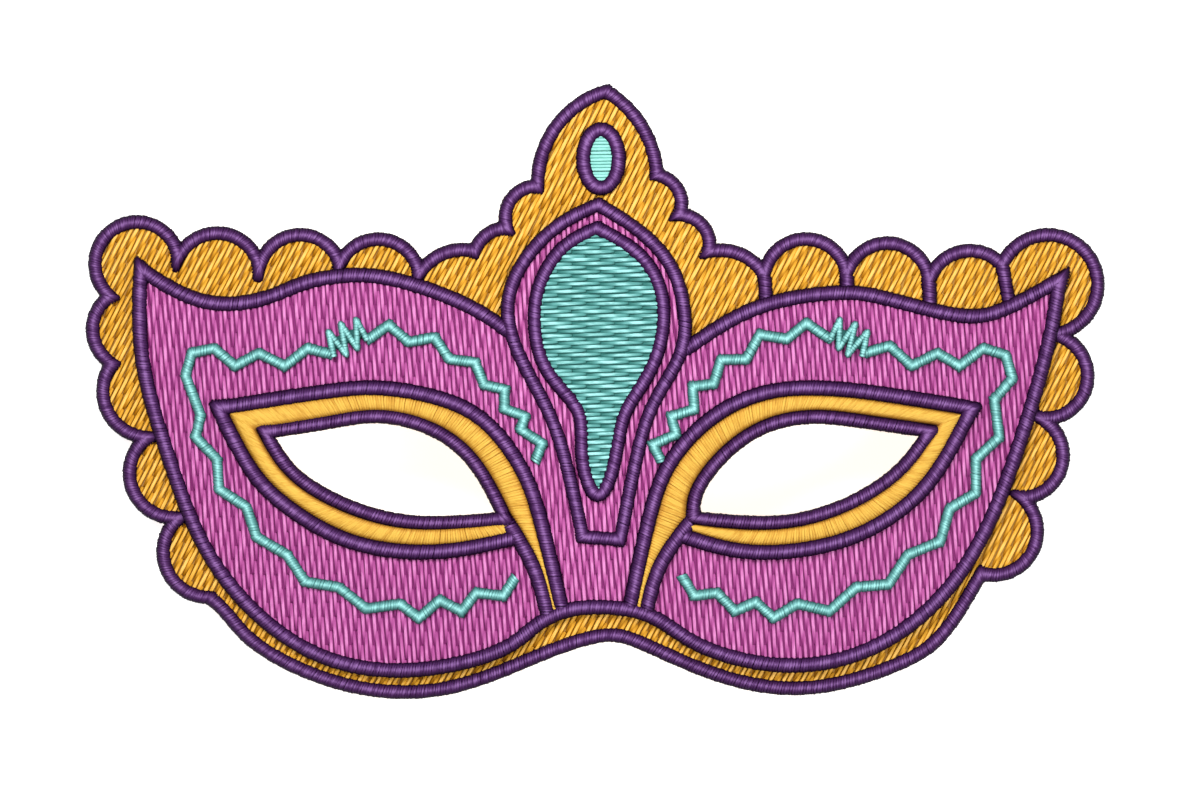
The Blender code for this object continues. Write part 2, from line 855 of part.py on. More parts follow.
# seams between the right-hand scallops
for number, rows in enumerate(scallop_seams, 1):
    seam = smooth_line(rows, seam_step)
    seam = stop_short(seam, panel_rings, border_width)
    seam = stop_short(seam[::-1], rim_rings, border_width)
    seam_body = cord(seam, border_width, panel_bottom, rim_top + fit_gap)
    add_object(f"scallop_seam_{number}", seam_body, purple, holder)

# medallion and gem
medallion_body = cord(medallion, border_width, trim_bottom, trim_top, True)
add_object("medallion_border", medallion_body, purple, holder)
gem_border_body = cord(gem_ring, border_width, trim_bottom, trim_top, True)
add_object("gem_border", gem_border_body, purple, holder)
gem_edge = beside(gem_ring, -trim_room, True)
gem_points = clear_of(grid[inside(grid, gem_edge)], [gem_edge], gem_crowd)
gem_body = plate([gem_edge], [], trim_bottom, trim_bottom + gem_thickness, (), gem_points)
add_object("gem", gem_body, teal, holder)

# crest ring and its small gem
crest_body = cord(crest_ring_line, border_width, panel_bottom, rim_top + fit_gap, True)
add_object("crest_ring", crest_body, purple, holder)
crest_edge = beside(crest_ring_line, -trim_room, True)
crest_gem_body = plate([crest_edge], [], panel_bottom, panel_bottom + gem_thickness)
add_object("crest_gem", crest_gem_body, aqua, holder)


def clear_stretch(line, neighbour, distance):
    # the unbroken middle stretch of the line that stays this far from a neighbour
    keep = near_distance(line, neighbour) > distance
    start = len(line) // 2
    end = start
    while start > 0 and keep[start - 1]:
        start -= 1
    while end < len(line) - 1 and keep[end + 1]:
        end += 1
    return line[start:end + 1]


def add_eye(side, outline_rows, edge_rows, tail_rows, zigzag_rows):
    # the trim of one eye: edge, tail, outline, gold band and zigzag
    ring = smooth_line(edge_rows, eye_step)[:-1]
    edge_body = cord(ring, border_width, -felt_thickness - fit_gap, trim_top, True)
    add_object(f"eye_edge_{side}", edge_body, purple, holder)
    tail_full = smooth_line(tail_rows, eye_step)
    tail = stop_short(tail_full, panel_rings, border_width)
    tail = stop_short(tail[::-1], band(ring, border_width, True), border_width)
    add_object(f"eye_tail_{side}", cord(tail, border_width, trim_bottom, trim_top), purple, holder)
    outline_full = smooth_line(outline_rows)
    both = np.vstack([tail_full[::-1], ring[1:]])
    outline = stop_short(outline_full, band(tail_full, border_width), border_width)
    outline = stop_short(outline[::-1], panel_rings, border_width)[::-1]
    outline_body = cord(outline, border_width, trim_bottom, trim_top)
    add_object(f"eye_outline_{side}", outline_body, purple, holder)
    # the band lies between the outline and the line of the tail and the edge
    facing = 1 if side == "left" else -1
    outer = clear_stretch(beside(outline, facing * trim_room), both, trim_room + least_band)
    inner = clear_stretch(beside(both, -facing * trim_room), outline, trim_room + least_band)
    band_outline = np.vstack([outer, inner[::-1]])
    band_top = trim_bottom + band_thickness
    band_body = plate([band_outline], [], trim_bottom, band_top)
    add_object(f"eye_band_{side}", band_body, gold_satin, holder)
    zigzag = np.array(place(zigzag_rows))
    zigzag_top = trim_bottom + zigzag_height
    zigzag_body = cord(zigzag, zigzag_width, trim_bottom, zigzag_top, edge=zigzag_height / 2)
    add_object(f"zigzag_{side}", zigzag_body, bright_teal, holder)


add_eye("left", left_eye_outline, left_eye_edge, left_eye_tail, left_zigzag)
add_eye("right", right_eye_outline, right_eye_edge, right_eye_tail, right_zigzag)
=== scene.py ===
# Carnival half mask of stiffened felt, covered with embroidery and laid face up.
# Lengths are metres. In the face frame x runs across the mask, y up the forehead, and
# a level is measured square to the felt's front face.
import math

import bpy
import numpy as np
from mathutils import Matrix, Vector


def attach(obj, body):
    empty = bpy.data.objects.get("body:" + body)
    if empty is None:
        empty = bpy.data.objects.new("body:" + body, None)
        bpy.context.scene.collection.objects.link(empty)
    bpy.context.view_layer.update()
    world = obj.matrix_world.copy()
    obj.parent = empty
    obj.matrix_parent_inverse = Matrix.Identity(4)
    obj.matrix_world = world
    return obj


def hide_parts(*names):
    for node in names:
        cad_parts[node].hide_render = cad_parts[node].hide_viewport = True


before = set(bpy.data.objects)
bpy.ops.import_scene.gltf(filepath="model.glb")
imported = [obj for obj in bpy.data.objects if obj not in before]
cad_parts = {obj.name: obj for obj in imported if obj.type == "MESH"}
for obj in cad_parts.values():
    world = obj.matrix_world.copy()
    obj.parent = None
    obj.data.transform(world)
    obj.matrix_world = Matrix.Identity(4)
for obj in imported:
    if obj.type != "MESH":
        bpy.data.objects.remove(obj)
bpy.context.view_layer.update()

print("frame loaded:", len(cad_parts), "nodes")

# the felt's form, and how the face frame lies in the resting frame
maskForm = {
    "width": 0.2032,
    "height": 0.1226,
    "wrapDepth": 0.035,
    "wrapRadius": 0.060,
    "noseRise": 0.0095,
    "noseSpread": 0.0165,
    "noseTop": 0.020,
    "noseBottom": -0.045,
    "browRadius": 0.250,
    "floorSlope": (0.006595, -0.103542),
    "shift": (0.001188, -0.001081, 0.036171),
}
planSize = np.array([maskForm["width"], maskForm["height"]])
fineStep = 0.0001  # slopes and directions are read over this length
lineStep = 0.0002  # between the points of a trimmed or matched line
curveSamples = 60  # points on each arc and each stretch of a spline
leastLength = 1e-12  # keeps divisions off nought


def restTurn():
    # rows are the resting frame's axes, seen from the face frame
    slopeAcross, slopeUp = maskForm["floorSlope"]
    up = Vector((-slopeAcross, -slopeUp, 1)).normalized()
    right = (Vector((1, 0, 0)) - up * up.x).normalized()
    return np.array([right, up.cross(right), up])


turnToRest = restTurn()


def faceHeight(x, y):
    # a hyperbola wraps the head, a bell curve lifts the nose, a parabola rolls the brow
    form = maskForm
    radius = form["wrapRadius"]
    fullWrap = math.hypot(form["width"] / 2, radius) - radius
    wrap = form["wrapDepth"] * (np.sqrt(x * x + radius ** 2) - radius) / fullWrap
    share = np.clip((form["noseTop"] - y) / (form["noseTop"] - form["noseBottom"]), 0, 1)
    bell = np.exp(-0.5 * (x / form["noseSpread"]) ** 2)
    nose = form["noseRise"] * share * share * (3 - 2 * share) * bell
    return nose - wrap - y * y / (2 * form["browRadius"])


def facePoint(x, y, level):
    # the height plus the level over the cosine of the slope, turned into the resting frame
    step = fineStep
    slopeX = (faceHeight(x + step, y) - faceHeight(x - step, y)) / (2 * step)
    slopeY = (faceHeight(x, y + step) - faceHeight(x, y - step)) / (2 * step)
    z = faceHeight(x, y) + level * np.sqrt(1 + slopeX ** 2 + slopeY ** 2)
    return np.stack([x, y, z], -1) @ turnToRest.T + np.array(maskForm["shift"])


# outlines: shares of the width and height, measured from the middle of the face
outlines = {
    # across, up, bulge of the arc to the next row
    "rimScallops": (
        (-0.384, -0.337, 0.71), (-0.414, -0.207, 0.77), (-0.445, -0.076, 0.61),
        (-0.480, 0.044, 0.55), (-0.482, 0.154, 1.46), (-0.415, 0.216, 0.73),
        (-0.335, 0.199, 0.79), (-0.256, 0.205, 0.76), (-0.178, 0.189, 0.33),
        (-0.123, 0.227, 0.33), (-0.091, 0.265, 0.54), (-0.061, 0.333, 0.34),
        (0.006, 0.488, 0.25), (0.056, 0.351, 0.49), (0.078, 0.286, 0.49),
        (0.107, 0.226, 0.33), (0.162, 0.188, 0.87), (0.243, 0.189, 0.84),
        (0.324, 0.178, 0.59), (0.396, 0.204, 1.80), (0.444, 0.092, 0.99),
        (0.433, -0.045, 0.78), (0.415, -0.175, 0.81), (0.375, -0.298, 0.0),
    ),
    # across, up and, at a sharp corner, the word corner
    "rimUnderside": (
        (0.375, -0.298), (0.334, -0.402), (0.293, -0.446), (0.202, -0.485),
        (0.103, -0.456), (0.034, -0.407), (0.005, -0.399), (-0.053, -0.427),
        (-0.148, -0.484), (-0.256, -0.477), (-0.343, -0.407), (-0.368, -0.362),
        (-0.384, -0.337),
    ),
    "panel": (
        (-0.086, 0.091), (-0.129, 0.137), (-0.206, 0.182), (-0.251, 0.187),
        (-0.291, 0.175), (-0.325, 0.153), (-0.369, 0.141), (-0.409, 0.156),
        (-0.452, 0.197, "corner"), (-0.450, 0.050), (-0.424, -0.110),
        (-0.381, -0.277), (-0.296, -0.415), (-0.192, -0.456), (-0.093, -0.419),
        (-0.063, -0.383), (-0.034, -0.359), (0.000, -0.353), (0.034, -0.359),
        (0.061, -0.377), (0.098, -0.415), (0.187, -0.448),
        (0.280, -0.409), (0.357, -0.291), (0.408, -0.109), (0.442, 0.083),
        (0.452, 0.180, "corner"), (0.394, 0.130), (0.354, 0.122), (0.276, 0.152),
        (0.236, 0.159), (0.157, 0.136), (0.084, 0.066),
    ),
    "medallion": (
        (-0.002, 0.303, "corner"), (0.036, 0.263), (0.068, 0.207), (0.082, 0.139),
        (0.080, 0.065), (0.055, -0.014), (0.038, -0.095), (0.020, -0.243, "corner"),
        (-0.017, -0.239, "corner"), (-0.037, -0.097), (-0.056, -0.017),
        (-0.083, 0.072), (-0.090, 0.148), (-0.072, 0.217), (-0.039, 0.271),
        (-0.002, 0.303, "corner"),
    ),
    "gem": (
        (-0.003, 0.265, "corner"), (0.037, 0.224), (0.058, 0.171), (0.062, 0.107),
        (0.049, 0.032), (0.026, -0.032), (0.018, -0.081), (0.007, -0.154),
        (-0.003, -0.170), (-0.017, -0.115), (-0.020, -0.041), (-0.039, 0.005),
        (-0.058, 0.054), (-0.064, 0.131), (-0.055, 0.189), (-0.034, 0.236),
        (-0.003, 0.265, "corner"),
    ),
}
seamOutlines = (
    ((0.162, 0.188), (0.164, 0.138)),
    ((0.243, 0.189), (0.244, 0.158)),
    ((0.324, 0.178), (0.325, 0.130)),
    ((0.396, 0.204), (0.404, 0.132)),
)
eyeOutlines = {
    "left": {
        "outline": (
            (-0.037, -0.361), (-0.059, -0.209), (-0.076, -0.132), (-0.114, -0.050),
            (-0.162, -0.011), (-0.217, 0.004), (-0.266, -0.001),
            (-0.376, -0.029, "corner"), (-0.341, -0.135), (-0.309, -0.188),
            (-0.257, -0.239), (-0.197, -0.262), (-0.138, -0.259), (-0.074, -0.236),
        ),
        "edge": (
            (-0.093, -0.209, "corner"), (-0.126, -0.113), (-0.167, -0.062),
            (-0.217, -0.042), (-0.265, -0.051), (-0.330, -0.068, "corner"),
            (-0.306, -0.128), (-0.266, -0.175), (-0.216, -0.206), (-0.167, -0.216),
            (-0.093, -0.209, "corner"),
        ),
        "tail": ((-0.093, -0.209), (-0.065, -0.290), (-0.051, -0.370)),
        "zigzag": (
            (-0.064, -0.117), (-0.057, -0.086), (-0.078, -0.064), (-0.074, -0.042),
            (-0.094, -0.030), (-0.094, 0.002), (-0.114, 0.009), (-0.123, 0.046), (-0.148, 0.051),
            (-0.163, 0.087), (-0.188, 0.079), (-0.208, 0.107), (-0.230, 0.081), (-0.262, 0.058),
            (-0.288, 0.069), (-0.310, 0.040), (-0.336, 0.061), (-0.359, 0.040), (-0.380, 0.069),
            (-0.402, 0.061), (-0.408, 0.024), (-0.393, -0.040), (-0.398, -0.076),
            (-0.377, -0.112), (-0.375, -0.161), (-0.348, -0.190), (-0.338, -0.239),
            (-0.308, -0.268), (-0.290, -0.312), (-0.257, -0.321), (-0.230, -0.356),
            (-0.197, -0.348), (-0.178, -0.371), (-0.158, -0.342), (-0.136, -0.360),
            (-0.122, -0.330), (-0.095, -0.335), (-0.083, -0.304),
        ),
        "snag": (
            (-0.229, 0.082), (-0.240, 0.115), (-0.239, 0.069), (-0.255, 0.108), (-0.250, 0.059),
            (-0.267, 0.095), (-0.262, 0.055),
        ),
    },
    "right": {
        "outline": (
            (0.029, -0.357), (0.049, -0.205), (0.069, -0.118), (0.114, -0.040),
            (0.167, -0.002), (0.212, 0.004), (0.261, -0.002),
            (0.366, -0.029, "corner"), (0.329, -0.138), (0.293, -0.198),
            (0.245, -0.241), (0.187, -0.262), (0.132, -0.260), (0.071, -0.231),
        ),
        "edge": (
            (0.092, -0.208, "corner"), (0.095, -0.167), (0.125, -0.100),
            (0.167, -0.056), (0.212, -0.043), (0.261, -0.051),
            (0.325, -0.066, "corner"), (0.300, -0.122), (0.260, -0.172),
            (0.211, -0.205), (0.162, -0.216), (0.092, -0.208, "corner"),
        ),
        "tail": ((0.092, -0.208), (0.059, -0.286), (0.045, -0.365)),
        "zigzag": (
            (0.061, -0.117), (0.052, -0.089), (0.075, -0.071), (0.070, -0.043), (0.093, -0.030),
            (0.091, 0.006), (0.112, 0.011), (0.119, 0.050), (0.144, 0.051), (0.157, 0.091),
            (0.184, 0.084), (0.203, 0.110), (0.229, 0.081), (0.261, 0.061), (0.285, 0.073),
            (0.307, 0.040), (0.332, 0.061), (0.354, 0.040), (0.377, 0.069), (0.399, 0.058),
            (0.406, 0.020), (0.388, -0.015), (0.393, -0.076), (0.370, -0.112), (0.370, -0.167),
            (0.344, -0.193), (0.335, -0.246), (0.303, -0.268), (0.284, -0.316), (0.252, -0.321),
            (0.226, -0.360), (0.194, -0.348), (0.171, -0.371), (0.153, -0.345), (0.133, -0.360),
            (0.115, -0.330), (0.093, -0.335), (0.080, -0.301),
        ),
        "snag": (
            (0.226, 0.082), (0.236, 0.115), (0.235, 0.069), (0.251, 0.108), (0.244, 0.059),
            (0.263, 0.095), (0.258, 0.055),
        ),
    },
}
crestRing = {"across": 0.001, "up": 0.378, "halfAcross": 0.0172, "halfUp": 0.0473}


def lineLength(line):
    # the length along the line at each of its points
    steps = np.linalg.norm(np.diff(line, axis=0), axis=1)
    return np.concatenate([[0.0], np.cumsum(steps)])


def pointAt(line, lengths):
    # the places on a line at these lengths along it
    along = lineLength(line)
    return np.stack([np.interp(lengths, along, line[:, k]) for k in (0, 1)], 1)


def evenLine(line, step, closed=False):
    # the same line with points at even steps
    if closed:
        line = np.vstack([line, line[:1]])
    full = lineLength(line)[-1]
    count = max(2, int(round(full / step)))
    lengths = np.linspace(0, full, count + 1)
    return pointAt(line, lengths[:-1] if closed else lengths)


def trimLine(line, fromStart, fromEnd):
    # the line without these lengths at its ends
    full = lineLength(line)[-1]
    count = max(2, int((full - fromStart - fromEnd) / lineStep))
    return pointAt(line, np.linspace(fromStart, full - fromEnd, count))


def arcLine(rows):
    # one arc per row: its height over half its chord is the bulge
    table = np.array(rows)
    points = table[:, :2] * planSize
    half = (points[1:] - points[:-1]) / 2
    middle = points[:-1] + half
    reach = np.linalg.norm(half, axis=1)[:, None]
    left = np.stack([-half[:, 1], half[:, 0]], 1) / reach
    halfAngle = 2 * np.arctan(table[:-1, 2])[:, None]
    radius = reach / np.sin(halfAngle)
    angle = halfAngle * np.linspace(-1, 1, curveSamples + 1)[:-1]
    along = (radius * np.sin(angle) / reach)[..., None]
    rise = (radius * (np.cos(angle) - np.cos(halfAngle)))[..., None]
    return (middle[:, None] + along * half[:, None] + rise * left[:, None]).reshape(-1, 2)


def splineRun(points):
    # natural cubic spline whose knots are the roots of the chords
    chord = np.linalg.norm(np.diff(points, axis=0), axis=1)
    knot = np.concatenate([[0.0], np.cumsum(np.sqrt(chord))])
    gap = np.diff(knot)
    matrix = np.diag(np.concatenate([[1.0], 2 * (gap[:-1] + gap[1:]), [1.0]]))
    matrix += np.diag(np.append(gap[:-1], 0.0), -1) + np.diag(np.append(0.0, gap[1:]), 1)
    slope = np.diff(points, axis=0) / gap[:, None]
    bend = np.linalg.solve(matrix, np.vstack([[[0, 0]], 6 * np.diff(slope, axis=0), [[0, 0]]]))
    place = np.linspace(0, knot[-1], curveSamples * len(gap) + 1)
    k = np.clip(np.searchsorted(knot, place, side="right") - 1, 0, len(gap) - 1)
    b = ((place - knot[k]) / gap[k])[:, None]
    a = 1 - b
    curve = (a ** 3 - a) * bend[k] + (b ** 3 - b) * bend[k + 1]
    return a * points[k] + b * points[k + 1] + curve * gap[k][:, None] ** 2 / 6


def splineLine(rows):
    # a sharp corner ends one run and starts the next
    points = np.array([row[:2] for row in rows]) * planSize
    corners = [k for k, row in enumerate(rows) if len(row) > 2]
    stops = sorted({0, len(rows) - 1, *corners})
    runs = [splineRun(points[a:b + 1]) for a, b in zip(stops[:-1], stops[1:])]
    return np.vstack([runs[0]] + [run[1:] for run in runs[1:]])


rimLine = np.vstack([
    arcLine(outlines["rimScallops"]),
    splineLine(outlines["rimUnderside"])[:-1],
])
panelLine = splineLine(outlines["panel"])
medallionLine = splineLine(outlines["medallion"])[:-1]
gemLine = splineLine(outlines["gem"])[:-1]
ringTurn = np.linspace(0, 2 * np.pi, 3 * curveSamples + 1)[:-1]
crestLine = np.stack([
    crestRing["across"] + crestRing["halfAcross"] * np.sin(ringTurn),
    crestRing["up"] + crestRing["halfUp"] * np.cos(ringTurn),
], 1) * planSize
eyeLines = {
    side: {name: splineLine(rows[name]) for name in ("outline", "edge", "tail")}
    for side, rows in eyeOutlines.items()
}
print("outlines drawn")


# mesh parts: a part is its points, its four-sided faces, and for each point the length along
# and the turn round its thread, its thread's own random tone, and its painted light and shade


regionForm = {
    "borderStep": 0.0008,  # between the points of an area's border
    "block": 4000,  # points set against the border at once
    "gridMargin": 1.03,  # the grid under a layer reaches past the mask by this share
    "rowMargin": 1.02,  # and the rows of stitches by this one
    "gridInset": 0.4,  # cells that a grid corner has to lie inside the border
    "mapScale": 1000,  # thread lengths in millimetres
}


def blocksOf(points):
    # slices of a few thousand points, which keep the tables of distances small
    size = regionForm["block"]
    return [slice(first, first + size) for first in range(0, len(points), size)]


def nearestOn(points, start, step):
    # distance to the nearest of the stretches, and the point there
    size = np.maximum((step ** 2).sum(1), leastLength)
    distance = np.empty(len(points))
    nearest = np.empty((len(points), 2))
    for block in blocksOf(points):
        x = points[block, 0][:, None] - start[:, 0]
        y = points[block, 1][:, None] - start[:, 1]
        share = np.clip((x * step[:, 0] + y * step[:, 1]) / size, 0, 1)
        away = (x - share * step[:, 0]) ** 2 + (y - share * step[:, 1]) ** 2
        best = away.argmin(1)
        row = np.arange(len(best))
        distance[block] = np.sqrt(away[row, best])
        nearest[block] = start[best] + share[row, best][:, None] * step[best]
    return distance, nearest


def insideRing(points, ring):
    # a point is inside when an odd number of the ring's edges lies to its right
    ahead = np.roll(ring, -1, axis=0)
    rise = np.where(ahead[:, 1] == ring[:, 1], leastLength, ahead[:, 1] - ring[:, 1])
    result = np.zeros(len(points), bool)
    for block in blocksOf(points):
        x = points[block, 0][:, None]
        y = points[block, 1][:, None]
        spans = (ring[:, 1] > y) != (ahead[:, 1] > y)
        cross = ring[:, 0] + (y - ring[:, 1]) * (ahead[:, 0] - ring[:, 0]) / rise
        result[block] = (spans & (x < cross)).sum(1) % 2 == 1
    return result


def makeRegion(within, without):
    # an area inside any of the first rings and outside all of the second ones; where two
    # of the first ones overlap, the stretches inside the other are no part of its border
    within = [evenLine(ring, regionForm["borderStep"], True) for ring in within]
    without = [evenLine(ring, regionForm["borderStep"], True) for ring in without]
    start = []
    step = []
    for number, ring in enumerate(within + without):
        ahead = np.roll(ring, -1, axis=0) - ring
        outer = np.ones(len(ring), bool)
        others = []
        if number < len(within):
            others = within[:number] + within[number + 1:]
        for other in others:
            outer &= ~insideRing(ring + ahead / 2, other)
        start.append(ring[outer])
        step.append(ahead[outer])
    border = (np.vstack(start), np.vstack(step))
    return {"within": within, "without": without, "border": border}


def insideRegion(points, region):
    # inside any of the first rings and outside all of the second ones
    inside = np.zeros(len(points), bool)
    for ring in region["within"]:
        inside |= insideRing(points, ring)
    for ring in region["without"]:
        inside &= ~insideRing(points, ring)
    return inside


def regionDepth(points, region):
    # how far inside the region each point lies, negative outside it
    distance = nearestOn(points, *region["border"])[0]
    return np.where(insideRegion(points, region), distance, -distance)


def unit(vectors):
    # each vector over its own length
    lengths = np.linalg.norm(vectors, axis=-1, keepdims=True)
    return vectors / np.maximum(lengths, leastLength)


def tubeFaces(tubes, rings, sides, closed):
    # walls between neighbouring rings, and caps of fanned quads where the ends are open
    steps = rings if closed else rings - 1
    ring, side = np.meshgrid(np.arange(steps), np.arange(sides), indexing="ij")
    nextRing = (ring + 1) % rings
    nextSide = (side + 1) % sides
    corners = (
        ring * sides + side,
        ring * sides + nextSide,
        nextRing * sides + nextSide,
        nextRing * sides + side,
    )
    faces = np.stack(corners, -1).reshape(-1, 4)
    if not closed:
        first = np.arange(1, sides - 2, 2)
        fan = np.stack([np.zeros_like(first), first, first + 1, first + 2], 1)
        faces = np.vstack([faces, fan[:, ::-1], fan + (rings - 1) * sides])
    offset = np.arange(tubes) * rings * sides
    return (faces[None] + offset[:, None, None]).reshape(-1, 4)


def threadTubes(
    centre, along, halfWidth, halfHeight, shade, middle, flank, sides=6, closed=False
):
    # an oval section carried along each centre line; along lies across the thread, and its painted
    # light falls from the crest to the flank's share at its sides, a painted shade on its flanks
    tubes, rings = centre.shape[:2]
    if closed:
        forward = unit(np.roll(centre, -1, axis=1) - np.roll(centre, 1, axis=1))
    else:
        forward = unit(np.gradient(centre, axis=1))
    outward = unit(np.cross(forward, along))
    across = np.cross(outward, forward)
    turn = np.linspace(0, 2 * np.pi, sides, endpoint=False)
    wide = (halfWidth[..., None] * np.cos(turn))[..., None] * across[:, :, None]
    high = (halfHeight[..., None] * np.sin(turn))[..., None] * outward[:, :, None]
    points = (centre[:, :, None] + wide + high).reshape(-1, 3)
    steps = np.linalg.norm(np.diff(centre, axis=1), axis=2)
    length = np.concatenate([np.zeros((tubes, 1)), np.cumsum(steps, axis=1)], 1)
    lengthUv = np.repeat(length[..., None] * regionForm["mapScale"], sides, axis=2).reshape(-1)
    turnUv = np.tile(turn / (2 * np.pi), tubes * rings)
    shades = np.repeat(shade, rings * sides)
    # painted shade on a thread's flanks: its painted light times a share that falls from the crest
    # to the flank's
    crest = flank + (1 - flank) * np.clip(np.sin(turn) / math.sin(math.pi / 3), 0, 1)
    middles = np.broadcast_to(middle, (tubes, rings))[..., None] * crest
    values = np.stack([lengthUv, turnUv, shades, middles.reshape(-1)], 1)
    return points, tubeFaces(tubes, rings, sides, closed), values


def plainValues(points):
    # an underlay has no thread of its own: it takes the deep colour, a painted shade where it shows
    # between the threads
    return np.column_stack([points[:, :2] * regionForm["mapScale"], np.zeros((len(points), 2))])


def slabPart(region, body):
    # a square grid over the region, its rim drawn onto the outline, with a back and walls
    cell = body["cell"]
    limit = planSize / 2 * regionForm["gridMargin"]
    xs = np.arange(-limit[0], limit[0], cell)
    ys = np.arange(-limit[1], limit[1], cell)
    plan = np.stack(np.meshgrid(xs, ys, indexing="ij"), -1).reshape(-1, 2)
    deep = regionDepth(plan, region) > regionForm["gridInset"] * cell
    deep = deep.reshape(len(xs), len(ys))
    full = deep[:-1, :-1] & deep[1:, :-1] & deep[1:, 1:] & deep[:-1, 1:]
    i, j = np.nonzero(full)
    a = i * len(ys) + j
    quads = np.stack([a, a + len(ys), a + len(ys) + 1, a + 1], 1)
    used, quads = np.unique(quads, return_inverse=True)
    quads = quads.reshape(-1, 4)
    plan = plan[used]
    edges = np.stack([quads, np.roll(quads, -1, axis=1)], -1).reshape(-1, 2)
    key = np.sort(edges, axis=1) @ np.array([len(plan), 1])
    found, counts = np.unique(key, return_counts=True)
    border = edges[np.isin(key, found[counts == 1])]
    outer = np.unique(border)
    plan[outer] = nearestOn(plan[outer], *region["border"])[1]
    count = len(plan)
    points = np.vstack([
        facePoint(plan[:, 0], plan[:, 1], body["top"]),
        facePoint(plan[:, 0], plan[:, 1], body["bottom"]),
    ])
    walls = np.stack([border[:, 1], border[:, 0], border[:, 0] + count, border[:, 1] + count], 1)
    faces = np.vstack([quads, quads[:, ::-1] + count, walls])
    # its values give a thread finish's deep colour: painted shade between the stitches
    return points, faces, plainValues(points)


# along a fill stitch: it comes up from under the last one, swells and sinks a little; its light is
# painted: painted shade where it comes up, a painted highlight on its rise, duller as it sinks
stitchForm = {
    "share": (0.0, 0.08, 0.2, 0.34, 0.5, 0.6, 0.78, 0.92, 1.0),
    "rise": (-1.4, -1.0, 0.1, 0.8, 1.0, 1.0, 0.75, 0.5, 0.2),
    "light": (0.0, 0.02, 0.22, 0.72, 1.0, 0.95, 0.58, 0.36, 0.26),
    "rings": (0.0, 0.06, 0.16, 0.28, 0.42, 0.58, 0.74, 0.9, 1.0),
    "sampleStep": 0.0004,  # along a row, where its stitches are cut
    "tipThin": 0.35,  # what both tips lose of their thickness
    "tipPower": 8,  # higher: thin nearer the tip only
    "leanSpread": (0.5, 1.5),
    "widthSpread": (0.94, 1.06),
}
shadeSpread = (0.2, 1.0)  # of all threads


def fillPart(region, style):
    # parallel rows of long stitches, each row's needle points moved on by a share of a
    # stitch, and every stitch cut where it leaves the region
    rng = np.random.default_rng(style["seed"])
    angle = math.radians(style["angle"])
    forward = np.array([math.cos(angle), math.sin(angle)])
    rowStep = np.array([math.sin(angle), -math.cos(angle)])
    reach = np.hypot(*planSize) / 2
    most = int(reach / style["pitch"])
    rows = np.arange(-most, most + 1)
    step = stitchForm["sampleStep"]
    along = np.arange(-reach, reach, step)
    plan = rows[:, None, None] * style["pitch"] * rowStep + along[:, None] * forward
    near = (np.abs(plan) < planSize / 2 * regionForm["rowMargin"]).all(2)
    inside = np.zeros(near.shape, bool)
    inside[near] = regionDepth(plan[near], region) > style["tuck"]
    start = (rows * style["shift"] + style["phase"]) * style["stitch"]
    start = start + rng.normal(0, style["jitter"], len(rows))
    cell = np.floor((along - start[:, None]) / style["stitch"]).astype(int)
    label = np.where(inside, cell - cell.min(), -1)  # one number for each stitch of a row
    pad = np.full((len(rows), 1), -1)
    before = np.hstack([pad, label[:, :-1]])
    after = np.hstack([label[:, 1:], pad])
    row, first = np.nonzero(inside & (label != before))
    last = np.nonzero(inside & (label != after))[1]
    needle = start[row] + cell[row, first] * style["stitch"]
    begin = np.where(before[row, first] >= 0, needle, along[first] - step / 2)
    end = np.where(after[row, last] >= 0, needle + style["stitch"], along[last] + step / 2)
    long = end - begin > style["least"]
    row, begin, end = row[long], begin[long], end[long]
    needle = needle[long]
    part = np.array(stitchForm["rings"])
    place = begin[:, None] + (end - begin)[:, None] * part
    share = (place - needle[:, None]) / style["stitch"]
    sway = rng.normal(0, style["sway"], len(row))[:, None]
    lean = style["lean"] * rng.uniform(*stitchForm["leanSpread"], len(row))[:, None]
    across = (rows[row][:, None] + sway - lean * (share - 0.5)) * style["pitch"]
    centre = across[..., None] * rowStep + place[..., None] * forward
    swell = np.interp(share, stitchForm["share"], stitchForm["rise"])
    level = style["level"] + swell * style["rise"]
    level = level + rng.normal(0, style["uneven"], len(row))[:, None]
    points = facePoint(centre[..., 0], centre[..., 1], level)
    side = np.array([-forward[1], forward[0]]) * fineStep
    beside = facePoint(centre[..., 0] + side[0], centre[..., 1] + side[1], level)
    slim = 1 - stitchForm["tipThin"] * np.abs(2 * part - 1) ** stitchForm["tipPower"]
    spread = rng.uniform(*stitchForm["widthSpread"], len(row))[:, None]
    halfWidth = style["pitch"] * style["cover"] * slim * spread
    halfHeight = style["threadHeight"] * slim * np.ones((len(row), 1))
    # painted light and shade along the stitch, from stitchForm's light
    middle = np.interp(share, stitchForm["share"], stitchForm["light"])
    shade = rng.uniform(*shadeSpread, len(row))
    return threadTubes(
        points, unit(beside - points), halfWidth, halfHeight, shade, middle, style["flank"]
    )


def satinEdges(line, width, closed, style):
    # both edges of a satin column: its ribs stand square to the line and lean evenly
    # through a corner over a stretch of lean times the width to either side; a rib there
    # is at most mitre times as long as elsewhere
    points = evenLine(line, fineStep, closed)
    ahead = np.roll(points, -1, axis=0) - points
    if not closed:
        ahead[-1] = ahead[-2]
    heading = np.unwrap(np.arctan2(ahead[:, 1], ahead[:, 0]))
    reach = max(1, int(style["lean"] * width / fineStep))
    if closed:
        turn = np.unwrap([heading[-1], heading[0]])[1] - heading[0]
        padded = np.concatenate([heading[-reach:] - turn, heading, heading[:reach] + turn])
    else:
        padded = np.pad(heading, reach, mode="edge")
    smooth = np.convolve(padded, np.ones(2 * reach + 1) / (2 * reach + 1), "valid")
    stretch = 1 / np.clip(np.cos(smooth - heading), 1 / style["mitre"], 1)
    side = np.stack([-np.sin(smooth), np.cos(smooth)], 1) * (stretch * width / 2)[:, None]
    return points + side, points - side


